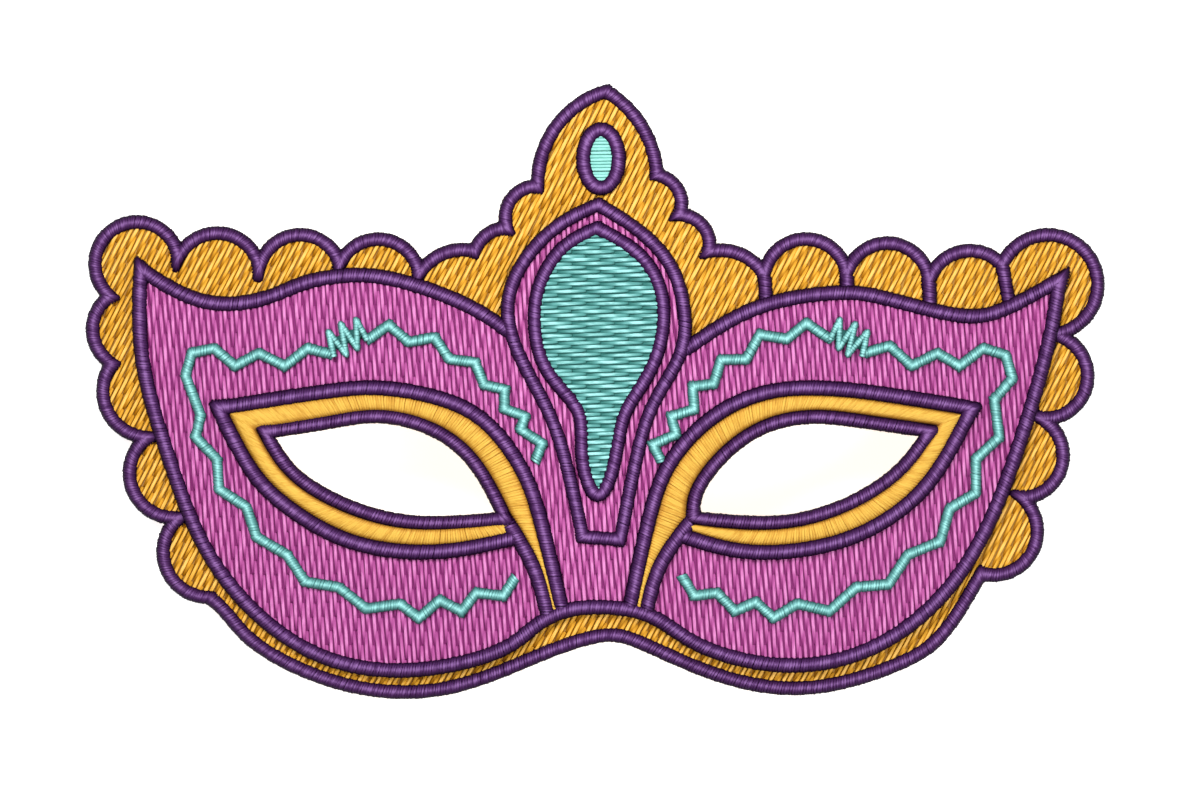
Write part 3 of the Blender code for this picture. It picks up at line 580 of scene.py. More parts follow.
def ovalSection(turn, square):
    # a superellipse: flatter on top and steeper at its sides as square grows
    cosine = np.cos(turn)
    sine = np.sin(turn)
    across = np.sign(cosine) * np.abs(cosine) ** (2 / square)
    rise = np.sign(sine) * np.abs(sine) ** (2 / square)
    return across, rise


satinForm = {
    "meanPace": 0.3,  # ribs are spaced by the column's middle to this share
    "edgePace": 0.7,  # and by its longer edge to this one
    "jitter": 0.12,  # of a rib's place, in ribs
    "widthSpread": (0.93, 1.07),
    "rings": 7,
    "sides": 6,
    "wrappedRings": 12,
    "wrappedSides": 5,
    "coreSides": 10,
    "coreSink": 0.9,  # how far the core lies under the ribs, in thread heights
    "coreFloor": -0.06,  # lowest point of a flat-bottomed core, in column heights
}


def endFall(places, full, style, closed):
    # a column sinks towards its open ends with the square of the taper left there
    if closed:
        return np.zeros((len(places), 1))
    ends = np.minimum(places, full - places) / style["taper"]
    return (style["endDrop"] * (1 - np.clip(ends, 0, 1)) ** 2)[:, None]


def satinParts(left, right, style, seed, closed=False):
    # ribs laid from edge to edge over a padded core; both follow the same oval section
    form = satinForm
    rng = np.random.default_rng(seed)
    middle = (left + right) / 2
    reach = (left - right) / 2
    travel = np.roll(middle, -1, axis=0) - middle
    if (travel[:-1, 0] * reach[:-1, 1] - travel[:-1, 1] * reach[:-1, 0]).sum() < 0:
        reach = -reach
    if closed:
        middle = np.vstack([middle, middle[:1]])
        reach = np.vstack([reach, reach[:1]])
    leftStep = np.linalg.norm(np.diff(middle + reach, axis=0), axis=1)
    rightStep = np.linalg.norm(np.diff(middle - reach, axis=0), axis=1)
    paced = form["meanPace"] * (leftStep + rightStep) / 2
    paced = paced + form["edgePace"] * np.maximum(leftStep, rightStep)
    pace = np.concatenate([[0.0], np.cumsum(paced)])
    ribs = max(3, int(round(pace[-1] / style["pitch"])))
    index = np.arange(len(pace))

    def sample(place):
        # the middle and the half width at these places along the column
        at = np.interp(place, pace, index)
        low = np.clip(at.astype(int), 0, len(pace) - 2)
        part = (at - low)[:, None]
        mid = middle[low] * (1 - part) + middle[low + 1] * part
        arm = reach[low] * (1 - part) + reach[low + 1] * part
        return mid, arm

    def lay(mid, arm, u, v, zero, rise, slant):
        # u goes along the half width, v up from zero; slant turns a rib as it crosses
        ahead = unit(np.stack([arm[:, 1], -arm[:, 0]], 1))
        plan = mid[:, None] + arm[:, None] * u[..., None]
        plan = plan + ahead[:, None] * (slant * u)[..., None]
        level = zero + rise * v
        points = facePoint(plan[..., 0], plan[..., 1], level)
        step = ahead[:, None] * fineStep
        beyond = facePoint(plan[..., 0] + step[..., 0], plan[..., 1] + step[..., 1], level)
        return points, unit(beyond - points)

    wrapped = style["wrapped"]
    jitter = rng.uniform(-form["jitter"], form["jitter"], ribs)
    places = (np.arange(ribs) + 0.5 + jitter) * pace[-1] / ribs
    mid, arm = sample(places)
    arm = arm * rng.uniform(1 - style["ragged"], 1 + style["ragged"], ribs)[:, None]
    if wrapped:
        rings = form["wrappedRings"]
        sides = form["wrappedSides"]
        turn = np.linspace(0, 2 * np.pi, rings, endpoint=False)
        zero = (style["top"] + style["base"]) / 2
        rise = (style["top"] - style["base"]) / 2
    else:
        rings = form["rings"]
        sides = form["sides"]
        turn = np.linspace(0, np.pi, rings)
        zero = style["base"]
        rise = style["top"] - style["base"]
    across, up = ovalSection(turn, style["square"])
    thick = style["threadHeight"]
    slim = 1 - thick / np.linalg.norm(arm, axis=1)[:, None]
    ribRise = rise - thick - endFall(places, pace[-1], style, closed)
    points, along = lay(mid, arm, across * slim, up, zero, ribRise, style["slant"])
    spread = rng.uniform(*form["widthSpread"], ribs)[:, None]
    halfWidth = style["pitch"] * style["cover"] * spread * np.ones(rings)
    halfHeight = np.full((ribs, rings), thick)
    # painted light across the column: bright along its middle, painted shade towards its sides
    paintedColumnLight = (1 - np.abs(across) ** style["round"]) ** style["fade"]
    shade = rng.uniform(*shadeSpread, ribs)
    threads = threadTubes(
        points, along, halfWidth, halfHeight, shade, paintedColumnLight, style["flank"], sides, wrapped
    )

    coreRings = max(4, int(pace[-1] / style["coreStep"]))
    if closed:
        corePlaces = np.linspace(0, pace[-1], coreRings + 1)[:-1]
    else:
        margin = style["pitch"] / 2
        corePlaces = np.linspace(margin, pace[-1] - margin, coreRings)
    coreMid, coreArm = sample(corePlaces)
    coreTurn = np.linspace(0, 2 * np.pi, form["coreSides"], endpoint=False)
    coreAcross, coreUp = ovalSection(coreTurn, style["square"])
    if not wrapped:
        coreUp = np.maximum(coreUp, form["coreFloor"])
    sink = thick * form["coreSink"]
    coreSlim = 1 - sink / np.linalg.norm(coreArm, axis=1)[:, None]
    coreRise = rise - sink - endFall(corePlaces, pace[-1], style, closed)
    corePoints = lay(coreMid, coreArm, coreAcross * coreSlim, coreUp, zero, coreRise, 0.0)[0]
    corePoints = corePoints.reshape(-1, 3)
    coreFaces = tubeFaces(1, len(coreMid), form["coreSides"], closed)
    # the core takes the deep colour: painted shade where it shows between the ribs
    core = (corePoints, coreFaces, plainValues(corePoints))
    return [threads, core]


def addPiece(name, parts, material, nodeNames):
    # joins the parts into one mesh whose UV map and attributes describe its threads
    counts = np.cumsum([0] + [len(part[0]) for part in parts])
    points = np.vstack([part[0] for part in parts])
    points[:, 2] = np.maximum(points[:, 2], 0.0)  # pressed flat where the rim rests
    faces = np.vstack([part[1] + first for part, first in zip(parts, counts)])
    values = np.vstack([part[2] for part in parts])
    mesh = bpy.data.meshes.new(name)
    mesh.vertices.add(len(points))
    mesh.vertices.foreach_set("co", points.astype(np.float32).ravel())
    mesh.loops.add(len(faces) * 4)
    mesh.loops.foreach_set("vertex_index", faces.astype(np.int32).ravel())
    mesh.polygons.add(len(faces))
    mesh.polygons.foreach_set("loop_start", np.arange(0, len(faces) * 4, 4, dtype=np.int32))
    mesh.update(calc_edges=True)
    mesh.polygons.foreach_set("use_smooth", np.ones(len(faces), bool))
    uvMap = mesh.uv_layers.new(name="threadMap")
    uvMap.data.foreach_set("uv", values[faces.ravel(), :2].astype(np.float32).ravel())
    # column 3 is painted light and shade, which the thread look turns into deep, base and bright
    for column, label in ((2, "threadShade"), (3, "threadPaintedLight")):
        attribute = mesh.attributes.new(label, "FLOAT", "POINT")
        attribute.data.foreach_set("value", values[:, column].astype(np.float32))
    mesh.validate()
    mesh.materials.append(material)
    piece = bpy.data.objects.new(name, mesh)
    bpy.context.scene.collection.objects.link(piece)
    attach(piece, "root")
    if nodeNames:
        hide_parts(*nodeNames)
    return piece


# finishes


def newGroup(name, inputs, outputs):
    # an empty node group with named sockets
    group = bpy.data.node_groups.new(name, "ShaderNodeTree")
    for label, kind, value in inputs:
        socket = group.interface.new_socket(name=label, in_out="INPUT", socket_type=kind)
        socket.default_value = value
    for label, kind in outputs:
        group.interface.new_socket(name=label, in_out="OUTPUT", socket_type=kind)
    entry = group.nodes.new("NodeGroupInput")
    leave = group.nodes.new("NodeGroupOutput")
    return group, entry.outputs, leave.inputs


def mathNode(tree, operation, *values, clamp=False):
    # each value is a number or a socket
    node = tree.nodes.new("ShaderNodeMath")
    node.operation = operation
    node.use_clamp = clamp
    for socket, value in zip(node.inputs, values):
        if isinstance(value, (int, float)):
            socket.default_value = value
        else:
            tree.links.new(value, socket)
    return node.outputs[0]


def mixNode(tree, factor, first, second):
    # from the first colour to the second as the factor rises
    node = tree.nodes.new("ShaderNodeMix")
    node.data_type = "RGBA"
    tree.links.new(factor, node.inputs["Factor"])
    tree.links.new(first, node.inputs["A"])
    tree.links.new(second, node.inputs["B"])
    return node.outputs["Result"]


def noiseNode(tree, place, scale, detail, twist=0.0):
    # a cloudy value between nought and one
    node = tree.nodes.new("ShaderNodeTexNoise")
    node.inputs["Scale"].default_value = scale
    node.inputs["Detail"].default_value = detail
    node.inputs["Distortion"].default_value = twist
    tree.links.new(place, node.inputs["Vector"])
    return node.outputs["Fac"]


colourInputs = (
    ("Deep", "NodeSocketColor", (0.1, 0.1, 0.1, 1)),
    ("Base", "NodeSocketColor", (0.5, 0.5, 0.5, 1)),
    ("Bright", "NodeSocketColor", (0.8, 0.8, 0.8, 1)),
)
lookOutputs = (
    ("Colour", "NodeSocketColor"),
    ("Height", "NodeSocketFloat"),
    ("Roughness", "NodeSocketFloat"),
)
threadForm = {
    "twists": 1.6,  # turns of the plies in a millimetre
    "streakLong": 0.35, "streakRound": 7.0, "streakApart": 61.0,
    "streakScale": 1.6, "streakDetail": 2.0, "streakDepth": 1.6,
    "shadeLeast": 0.68, "shadeRange": 0.40,  # light of the dullest thread, and up to the brightest
    "plyHeight": 0.6, "fibreHeight": 0.4,
    "roughLeast": 0.36, "roughRange": 0.22,
    "bumpStrength": 0.35, "bumpDistance": 0.00006,
}


def makeThreadLook():
    # two twisted plies, fine fibre streaks, and painted light and shade: painted shade in a deeper
    # colour towards a stitch's ends and at its sides, and a painted highlight along its crest
    form = threadForm
    inputs = (
        ("Thread Map", "NodeSocketVector", (0, 0, 0)),
        ("Shade", "NodeSocketFloat", 0.5),
        # painted light and shade: low values give painted shade in deep, high ones a painted
        # highlight in bright
        ("Middle", "NodeSocketFloat", 1.0),
        *colourInputs,
        ("Twists", "NodeSocketFloat", form["twists"]),
    )
    group, given, result = newGroup("thread_look", inputs, lookOutputs)
    split = group.nodes.new("ShaderNodeSeparateXYZ")
    group.links.new(given["Thread Map"], split.inputs[0])
    lengthways = split.outputs["X"]
    around = split.outputs["Y"]
    turns = mathNode(group, "MULTIPLY", lengthways, given["Twists"])
    turns = mathNode(group, "ADD", turns, around)
    ply = mathNode(group, "SINE", mathNode(group, "MULTIPLY", turns, 4 * math.pi))
    plyMask = mathNode(group, "MULTIPLY_ADD", ply, 0.5, 0.5)
    spread = group.nodes.new("ShaderNodeCombineXYZ")
    stretched = (
        (lengthways, form["streakLong"]), (around, form["streakRound"]),
        (given["Shade"], form["streakApart"]),
    )
    for socket, (value, amount) in zip(spread.inputs, stretched):
        group.links.new(mathNode(group, "MULTIPLY", value, amount), socket)
    fibre = noiseNode(group, spread.outputs[0], form["streakScale"], form["streakDetail"])
    depth = form["streakDepth"]
    lift = mathNode(group, "MULTIPLY_ADD", given["Shade"], form["shadeRange"], form["shadeLeast"])
    stray = mathNode(group, "MULTIPLY_ADD", fibre, depth, -depth / 2)
    # painted light and shade, times each thread's own random tone, streaked by its fibres
    light = mathNode(group, "MULTIPLY", given["Middle"], lift)
    light = mathNode(group, "ADD", light, mathNode(group, "MULTIPLY", stray, light))
    # the lower half of the painted light goes from painted shade in deep to base, the upper half on
    # to a painted highlight in bright
    toBase = mathNode(group, "MULTIPLY", light, 2.0, clamp=True)
    double = mathNode(group, "MULTIPLY", light, 2.0)
    toBright = mathNode(group, "SUBTRACT", double, 1.0, clamp=True)
    colour = mixNode(group, toBase, given["Deep"], given["Base"])
    colour = mixNode(group, toBright, colour, given["Bright"])
    plyHeight = mathNode(group, "MULTIPLY", plyMask, form["plyHeight"])
    fibreHeight = mathNode(group, "MULTIPLY", fibre, form["fibreHeight"])
    rough = mathNode(group, "MULTIPLY_ADD", fibre, form["roughRange"], form["roughLeast"])
    group.links.new(colour, result["Colour"])
    group.links.new(mathNode(group, "ADD", plyHeight, fibreHeight), result["Height"])
    group.links.new(rough, result["Roughness"])
    return group


feltForm = {
    "cloudScale": 90.0, "cloudDetail": 3.0,
    "fibreScale": 900.0, "fibreDetail": 4.0, "fibreTwist": 1.6,
    "pressScale": 420.0, "pressHeight": 0.5,
    "tipLeast": 0.5, "tipContrast": 2.4,
    "roughLeast": 0.82, "roughRange": 0.12,
    "bumpStrength": 0.6, "bumpDistance": 0.00025,
    "sheen": 0.35, "sheenRough": 0.6,
}


def makeFeltLook():
    # pressed wool: cloudy colour, short crossing fibres and a soft nap
    form = feltForm
    inputs = (("Place", "NodeSocketVector", (0, 0, 0)), *colourInputs)
    group, given, result = newGroup("felt_look", inputs, lookOutputs)
    place = given["Place"]
    cloud = noiseNode(group, place, form["cloudScale"], form["cloudDetail"])
    fibres = noiseNode(group, place, form["fibreScale"], form["fibreDetail"], form["fibreTwist"])
    pressed = group.nodes.new("ShaderNodeTexVoronoi")
    pressed.inputs["Scale"].default_value = form["pressScale"]
    group.links.new(place, pressed.inputs["Vector"])
    colour = mixNode(group, cloud, given["Deep"], given["Base"])
    tips = mathNode(group, "SUBTRACT", fibres, form["tipLeast"])
    tips = mathNode(group, "MULTIPLY", tips, form["tipContrast"], clamp=True)
    colour = mixNode(group, tips, colour, given["Bright"])
    dents = mathNode(group, "MULTIPLY", pressed.outputs["Distance"], form["pressHeight"])
    rough = mathNode(group, "MULTIPLY_ADD", fibres, form["roughRange"], form["roughLeast"])
    group.links.new(colour, result["Colour"])
    group.links.new(mathNode(group, "ADD", fibres, dents), result["Height"])
    group.links.new(rough, result["Roughness"])
    return group


threadLook = makeThreadLook()
feltLook = makeFeltLook()

# linear colours: deep is painted shade where a stitch sinks, at its sides and between threads, base
# is its body, bright is a painted highlight along its lit fibres; and its gloss
threadColours = {
    "gold_fill": {
        "deep": (0.30, 0.108, 0.002), "base": (0.76, 0.370, 0.034), "bright": (0.96, 0.560, 0.140),
        "gloss": 0.04,
    },
    "gold_satin": {
        "deep": (0.25, 0.100, 0.014), "base": (0.55, 0.268, 0.034), "bright": (0.74, 0.452, 0.076),
        "gloss": 0.10,
    },
    "magenta_fill": {
        "deep": (0.24, 0.031, 0.160), "base": (0.475, 0.105, 0.330), "bright": (0.70, 0.245, 0.535),
        "gloss": 0.06,
    },
    "purple_satin": {
        "deep": (0.007, 0.0004, 0.011), "base": (0.075, 0.024, 0.105), "bright": (0.25, 0.120, 0.33),
        "gloss": 0.015,
    },
    "teal_fill": {
        "deep": (0.031, 0.155, 0.140), "base": (0.115, 0.355, 0.335), "bright": (0.355, 0.74, 0.72),
        "gloss": 0.07,
    },
    "aqua_satin": {
        "deep": (0.09, 0.33, 0.29), "base": (0.19, 0.52, 0.46), "bright": (0.31, 0.70, 0.63),
        "gloss": 0.10,
    },
    "bright_teal_satin": {
        "deep": (0.024, 0.100, 0.098), "base": (0.128, 0.355, 0.345), "bright": (0.35, 0.74, 0.715),
        "gloss": 0.08,
    },
}
feltColours = {
    "deep": (0.30, 0.13, 0.014), "base": (0.50, 0.24, 0.030), "bright": (0.72, 0.42, 0.09),
    "gloss": 0.2,
}


def makeFinish(name, look, colours, form):
    # one shader that takes its colour, roughness and bump from a look
    material = bpy.data.materials.new(name)
    material.use_nodes = True
    tree = material.node_tree
    shader = tree.nodes["Principled BSDF"]
    node = tree.nodes.new("ShaderNodeGroup")
    node.node_tree = look
    for label in ("deep", "base", "bright"):
        node.inputs[label.capitalize()].default_value = (*colours[label], 1)
    bump = tree.nodes.new("ShaderNodeBump")
    bump.inputs["Strength"].default_value = form["bumpStrength"]
    bump.inputs["Distance"].default_value = form["bumpDistance"]
    tree.links.new(node.outputs["Height"], bump.inputs["Height"])
    tree.links.new(node.outputs["Colour"], shader.inputs["Base Color"])
    tree.links.new(node.outputs["Roughness"], shader.inputs["Roughness"])
    tree.links.new(bump.outputs["Normal"], shader.inputs["Normal"])
    shader.inputs["Specular IOR Level"].default_value = colours["gloss"]
    return material, tree, node, shader


def threadFinish(name):
    # the thread look in its own colours, laid along each stitch
    material, tree, node, shader = makeFinish(name, threadLook, threadColours[name], threadForm)
    uvMap = tree.nodes.new("ShaderNodeUVMap")
    uvMap.uv_map = "threadMap"
    tree.links.new(uvMap.outputs["UV"], node.inputs["Thread Map"])
    # each point's painted light and shade, and its thread's own random tone
    for attributeName, socketName in (("threadShade", "Shade"), ("threadPaintedLight", "Middle")):
        attribute = tree.nodes.new("ShaderNodeAttribute")
        attribute.attribute_name = attributeName
        tree.links.new(attribute.outputs["Fac"], node.inputs[socketName])
    return material


def feltFinish(name):
    # the felt look, placed by the piece itself
    material, tree, node, shader = makeFinish(name, feltLook, feltColours, feltForm)
    place = tree.nodes.new("ShaderNodeTexCoord")
    tree.links.new(place.outputs["Object"], node.inputs["Place"])
    shader.inputs["Sheen Weight"].default_value = feltForm["sheen"]
    shader.inputs["Sheen Roughness"].default_value = feltForm["sheenRough"]
    return material


finishes = {name: threadFinish(name) for name in threadColours}
finishes["gold_felt_back"] = feltFinish("gold_felt_back")
print("finishes mixed")

# the felt, plain behind and covered with gold stitches in front
feltBody = {"cell": 0.0013, "bottom": -0.0020, "top": -0.00020}
goldFill = {
    "angle": 60, "pitch": 0.00079, "stitch": 0.0085,  # degrees, row to row, needle to needle
    "shift": 1 / 3, "phase": 0.0,  # in stitches: from row to row, and of the first row
    "jitter": 0.00012, "sway": 0.08, "lean": 0.45, "uneven": 0.00002,  # how far hands stray
    "level": -0.00010, "rise": 0.00014,  # of the thread's middle, and its swell
    "threadHeight": 0.00020, "cover": 0.53,  # half height, and half width in rows
    # flank: the painted light left at a thread's sides, a painted shade on its flanks
    "flank": 0.30,  # light left at a thread's sides
    "tuck": 0.0003, "least": 0.0008,  # stopped short of the border; shorter ones left out
    "seed": 11,
}
eyeSides = ("left", "right")
eyeHoles = [eyeLines[side]["edge"][:-1] for side in eyeSides]
feltSlab = slabPart(makeRegion([rimLine], eyeHoles), feltBody)
addPiece("felt_back", [feltSlab], finishes["gold_felt_back"], ["backing"])
goldRegion = makeRegion([rimLine], [panelLine, medallionLine, crestLine])
goldStitches = fillPart(goldRegion, goldFill)
addPiece("gold_stitches", [goldStitches], finishes["gold_fill"], [])
print("felt and gold stitches laid")

# magenta face between the panel's border, the gem and the eyes
magentaBody = {"cell": 0.0015, "bottom": 0.0003, "top": 0.00100}
magentaFill = dict(goldFill, angle=90, level=0.00110, jitter=0.0001, lean=0.7, seed=12)
eyeRings = [np.vstack([eyeLines[side]["outline"], eyeLines[side]["tail"]]) for side in eyeSides]
magentaSlab = slabPart(makeRegion([panelLine, medallionLine], eyeHoles), magentaBody)
magentaRegion = makeRegion([panelLine, medallionLine], [gemLine, *eyeRings, *eyeHoles])
addPiece(
    "magenta_stitches", [magentaSlab, fillPart(magentaRegion, magentaFill)],
    finishes["magenta_fill"], ["face_panel"],
)
print("magenta stitches laid")

# the gem and the crest's small gem
gemBody = {"cell": 0.0012, "bottom": 0.0014, "top": 0.0018}
tealFill = dict(goldFill, angle=0, level=0.0019, jitter=0.00005, lean=0.3, seed=13)
gemRegion = makeRegion([gemLine], [])
addPiece(
    "gem_stitches", [slabPart(gemRegion, gemBody), fillPart(gemRegion, tealFill)],
    finishes["teal_fill"], ["gem"],
)
crestGemBody = {"cell": 0.0009, "bottom": 0.0001, "top": 0.00045}
aquaFill = dict(
    goldFill, angle=0, pitch=0.00066, stitch=0.02, shift=0.0, phase=0.5, level=0.00055, seed=14
)
crestRegion = makeRegion([crestLine], [])
addPiece(
    "crest_gem_stitches", [slabPart(crestRegion, crestGemBody), fillPart(crestRegion, aquaFill)],
    finishes["aqua_satin"], ["crest_gem"],
)
print("gems laid")

# padded satin borders
purpleCord = {
    "width": 0.0030, "base": 0.0001, "top": 0.0027, "square": 2.6,  # the column's section
    "pitch": 0.00056, "slant": 0.0004, "ragged": 0.04,  # its ribs, and how uneven they are
    "wrapped": False,  # True: ribs run round the back too
    "threadHeight": 0.00013, "cover": 0.60,  # half height, and half width in ribs
    # flank, round and fade: painted light and shade on each rib and across the column
    "flank": 0.50, "round": 1.6, "fade": 2.2,  # how its light falls to the sides
    "taper": 0.0020, "endDrop": 0.0004,  # how its open ends sink
    "mitre": 1.5, "lean": 0.55,  # how its ribs turn a corner
    "coreStep": 0.0012,  # between the padding's rings
}
cords = (
    # piece, line, closed, node, values that differ from the common ones
    ("rim_satin", rimLine, True, "outer_border",
     {"base": -0.0026, "top": 0.00115, "wrapped": True, "mitre": 2.2}),
    ("panel_satin", panelLine, False, "panel_border",
     {"top": 0.0024, "width": 0.0032, "mitre": 2.6}),
    ("medallion_satin", medallionLine, True, "medallion_border", {}),
    ("gem_satin", gemLine, True, "gem_border", {"base": 0.0012}),
    ("crest_ring_satin", crestLine, True, "crest_ring",
     {"base": -0.0001, "top": 0.0015, "width": 0.0032}),
)
seamChanges = {"base": -0.0001, "top": 0.0014, "endDrop": 0.0002}


def addCord(name, line, closed, nodeName, changes):
    # a purple column along a line; its name sets its random draws
    style = dict(purpleCord, **changes)
    left, right = satinEdges(line, style["width"], closed, style)
    seed = sum(map(ord, name))
    parts = satinParts(left, right, style, seed, closed)
    return addPiece(name, parts, finishes["purple_satin"], [nodeName])


for name, line, closed, nodeName, changes in cords:
    addCord(name, line, closed, nodeName, changes)
for number, rows in enumerate(seamOutlines, 1):
    seam = splineLine(rows)
    addCord(f"scallop_seam_satin_{number}", seam, False, f"scallop_seam_{number}", seamChanges)
print("borders sewn")

# the eyes: a wrapped edge, a tail, an outline, a gold band and a zigzag
eyeStyle = {
    "edge": {"base": -0.0023, "top": 0.0027, "wrapped": True, "lean": 0.8},
    "tail": {
        "base": 0.0012, "width": 0.0032, "taper": 0.0022, "endDrop": 0.0012, "fromStart": 0.0004,
        "fromEnd": 0.0,
    },
    "outline": {
        "base": 0.0012, "width": 0.0032, "taper": 0.0022, "endDrop": 0.0012, "lean": 0.7,
        "fromStart": 0.0, "fromEnd": 0.0008,
    },
    "band": {
        "base": 0.0012, "top": 0.0022, "pitch": 0.00056, "ragged": 0.0, "square": 2.2,
        # round and fade: the painted light and shade across the band
        "round": 3.6, "fade": 1.4, "tuck": 0.78, "seed": 40,
    },
    "zigzag": {
        "base": 0.0012, "top": 0.0025, "width": 0.0023, "pitch": 0.00056, "mitre": 1.25,
        "lean": 0.4, "slant": 0.0003, "coreStep": 0.0008, "snagRow": 13, "seed": 60,
    },
    # tight jags where the zigzag has snagged
    "tangle": {
        "top": 0.0029, "width": 0.00150, "square": 2.1, "mitre": 1.1, "lean": 0.35, "slant": 0.0,
        # fade: how its painted light falls to painted shade at its sides
        "endDrop": 0.0, "fade": 1.3,
    },
    # bare padding that shows between the jags
    "padding": {"top": 0.0023, "width": 0.0026},
}


def nearestIndex(line, point, first, last):
    # the line's point nearest to a place, between two of its points
    return first + int(np.linalg.norm(line[first:last] - point, axis=1).argmin())


def matchedLines(first, firstStops, second, secondStops):
    # both lines cut at their stops and sampled alike between them
    pairs = ([], [])
    for k in range(len(firstStops) - 1):
        runA = first[firstStops[k]:firstStops[k + 1] + 1]
        runB = second[secondStops[k]:secondStops[k + 1] + 1]
        lengths = [lineLength(run)[-1] for run in (runA, runB)]
        share = np.linspace(0, 1, max(3, int(max(lengths) / lineStep)))
        pairs[0].append(pointAt(runA, share * lengths[0]))
        pairs[1].append(pointAt(runB, share * lengths[1]))
    return np.vstack(pairs[0]), np.vstack(pairs[1])


def tipPlace(rows):
    # the sharp corner between an outline's two ends
    corners = [row for row in rows[1:-1] if len(row) > 2]
    return np.array(corners[0][:2]) * planSize


def eyeBand(side, facing):
    # ribs from the outline's inner flank to the flank of the tail and the edge
    lines = eyeLines[side]
    style = dict(purpleCord, **eyeStyle["outline"])
    whole = np.vstack([lines["tail"][::-1], lines["edge"][1:]])
    width = purpleCord["width"] * eyeStyle["band"]["tuck"]
    outer = satinEdges(lines["outline"], width, False, style)[0 if facing > 0 else 1]
    inner = satinEdges(whole, width, False, style)[1 if facing > 0 else 0]
    outerLine = evenLine(lines["outline"], fineStep)
    innerLine = evenLine(whole, fineStep)
    innerCorner = lines["edge"][0]
    outerTip = tipPlace(eyeOutlines[side]["outline"])
    innerTip = tipPlace(eyeOutlines[side]["edge"])
    half = len(innerLine) // 2
    outerStops = [
        0,
        nearestIndex(outerLine, innerCorner, 0, len(outerLine) // 2),
        nearestIndex(outerLine, outerTip, 0, len(outerLine)),
        len(outerLine) - 1,
    ]
    innerStops = [
        0,
        nearestIndex(innerLine, innerCorner, 0, half),
        nearestIndex(innerLine, innerTip, 0, len(innerLine)),
        len(innerLine) - 1,
    ]
    return matchedLines(outer, outerStops, inner, innerStops)


def jagParts(rows, style, facing):
    # a narrow column from turn to turn
    edges = satinEdges(np.array(rows) * planSize, style["width"], False, style)
    return satinParts(*edges, style, style["seed"] + facing)


def addEye(side, facing):
    # facing is 1 for the left eye and -1 for the right
    lines = eyeLines[side]
    edge = lines["edge"][:-1]
    addCord(f"eye_edge_satin_{side}", edge, True, f"eye_edge_{side}", eyeStyle["edge"])
    for name in ("tail", "outline"):
        style = eyeStyle[name]
        line = trimLine(lines[name], style["fromStart"], style["fromEnd"])
        addCord(f"eye_{name}_satin_{side}", line, False, f"eye_{name}_{side}", style)
    band = dict(purpleCord, **eyeStyle["band"])
    ribs = satinParts(*eyeBand(side, facing), band, band["seed"] + facing)
    goldSatin = finishes["gold_satin"]
    addPiece(f"eye_band_satin_{side}", ribs, goldSatin, [f"eye_band_{side}"])
    zigzag = dict(purpleCord, **eyeStyle["zigzag"])
    turns = eyeOutlines[side]["zigzag"]
    snag = np.array(eyeOutlines[side]["snag"])
    jags = jagParts(turns[:zigzag["snagRow"]], zigzag, facing)
    jags += jagParts(turns[zigzag["snagRow"]:], zigzag, facing)
    jags += jagParts(snag, dict(zigzag, **eyeStyle["tangle"]), facing)
    middles = (snag[1:] + snag[:-1]) / 2
    jags += jagParts(middles, dict(zigzag, **eyeStyle["padding"]), facing)[1:]
    tealSatin = finishes["bright_teal_satin"]
    addPiece(f"zigzag_satin_{side}", jags, tealSatin, [f"zigzag_{side}"])


addEye("left", 1)
addEye("right", -1)
print("eyes sewn")

# floor, light and camera
studio = {
    "floorSize": 6.0,
    "floorColour": (0.93, 0.93, 0.93),
    "floorGrain": 400.0,
    "grainDetail": 2.0,
    "floorShade": 0.98,
    "floorRough": 0.9,
    "floorGlow": 0.80,
    "skyLight": 0.33,
    "keyPower": 27.0,
    "keySize": 0.8,
    "keyPlace": (-0.38, 0.70, 1.4),
    "fillPower": 11.5,
    "fillPlace": (0.75, -0.55, 1.2),
    "cameraDistance": 1.5,
    "cameraReach": (0.05, 20.0),
    "frameWidth": 0.240,
    "aim": (0.0, -0.0019, -0.012),
}


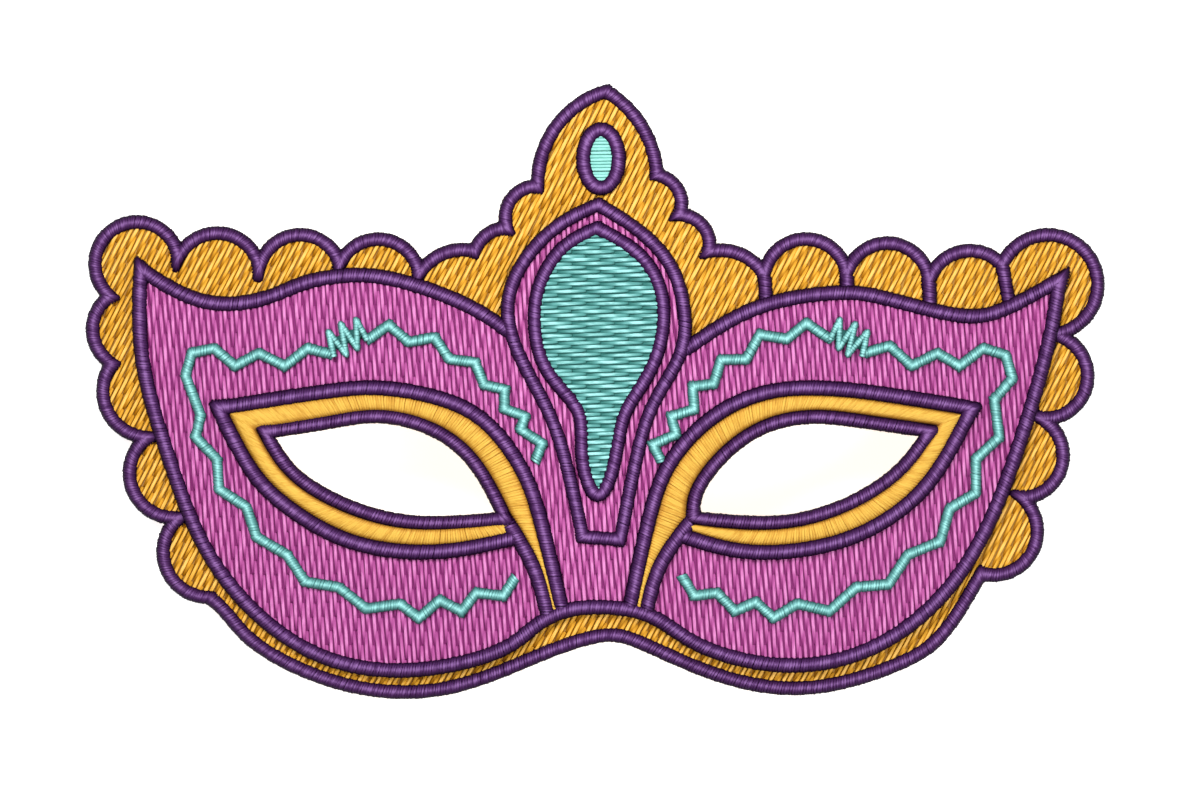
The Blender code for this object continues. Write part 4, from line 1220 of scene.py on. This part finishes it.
def makeFloor():
    # a plain pale sheet that glows enough to come out white
    half = studio["floorSize"] / 2
    mesh = bpy.data.meshes.new("floor")
    corners = [(-half, -half, 0), (half, -half, 0), (half, half, 0), (-half, half, 0)]
    mesh.from_pydata(corners, [], [(0, 1, 2, 3)])
    floor = bpy.data.objects.new("floor", mesh)
    bpy.context.scene.collection.objects.link(floor)
    material = bpy.data.materials.new("pale_floor")
    material.use_nodes = True
    tree = material.node_tree
    shader = tree.nodes["Principled BSDF"]
    place = tree.nodes.new("ShaderNodeTexCoord")
    place = place.outputs["Object"]
    grain = noiseNode(tree, place, studio["floorGrain"], studio["grainDetail"])
    ramp = tree.nodes.new("ShaderNodeValToRGB")
    shaded = [value * studio["floorShade"] for value in studio["floorColour"]]
    ramp.color_ramp.elements[0].color = (*shaded, 1)
    ramp.color_ramp.elements[1].color = (*studio["floorColour"], 1)
    tree.links.new(grain, ramp.inputs["Fac"])
    tree.links.new(ramp.outputs["Color"], shader.inputs["Base Color"])
    shader.inputs["Roughness"].default_value = studio["floorRough"]
    shader.inputs["Emission Color"].default_value = (1, 1, 1, 1)
    shader.inputs["Emission Strength"].default_value = studio["floorGlow"]
    mesh.materials.append(material)


def makeLight(name, power, size, place):
    # a soft round light that faces the mask
    light = bpy.data.lights.new(name, "AREA")
    light.shape = "DISK"
    light.energy = power
    light.size = size
    holder = bpy.data.objects.new(name, light)
    holder.location = place
    holder.rotation_euler = (-Vector(place)).to_track_quat("-Z", "Y").to_euler()
    bpy.context.scene.collection.objects.link(holder)


def makeSky():
    # white to the camera, and a dimmer light on the mask
    world = bpy.data.worlds.new("studio")
    world.use_nodes = True
    tree = world.node_tree
    sky = tree.nodes["Background"]
    sky.inputs["Color"].default_value = (1, 1, 1, 1)
    seen = tree.nodes.new("ShaderNodeLightPath")
    strength = tree.nodes.new("ShaderNodeMapRange")
    strength.inputs["To Min"].default_value = studio["skyLight"]
    strength.inputs["To Max"].default_value = 1.0
    tree.links.new(seen.outputs["Is Camera Ray"], strength.inputs["Value"])
    tree.links.new(strength.outputs["Result"], sky.inputs["Strength"])
    bpy.context.scene.world = world


def makeCamera():
    # the camera looks straight down the face's own axis, with the crest upwards
    right, up, out = turnToRest.T
    aim = np.array(studio["aim"]) @ turnToRest.T + np.array(maskForm["shift"])
    camera = bpy.data.cameras.new("camera")
    camera.type = "ORTHO"
    camera.ortho_scale = studio["frameWidth"]
    camera.clip_start, camera.clip_end = studio["cameraReach"]
    holder = bpy.data.objects.new("camera", camera)
    turn = Matrix((right, up, out)).transposed().to_4x4()
    place = Vector(aim + out * studio["cameraDistance"])
    holder.matrix_world = Matrix.Translation(place) @ turn
    bpy.context.scene.collection.objects.link(holder)
    bpy.context.scene.camera = holder


makeFloor()
makeLight("key", studio["keyPower"], studio["keySize"], studio["keyPlace"])
makeLight("fill", studio["fillPower"], studio["keySize"], studio["fillPlace"])
makeSky()
makeCamera()
bpy.context.scene.view_settings.view_transform = "Standard"
print("studio set")
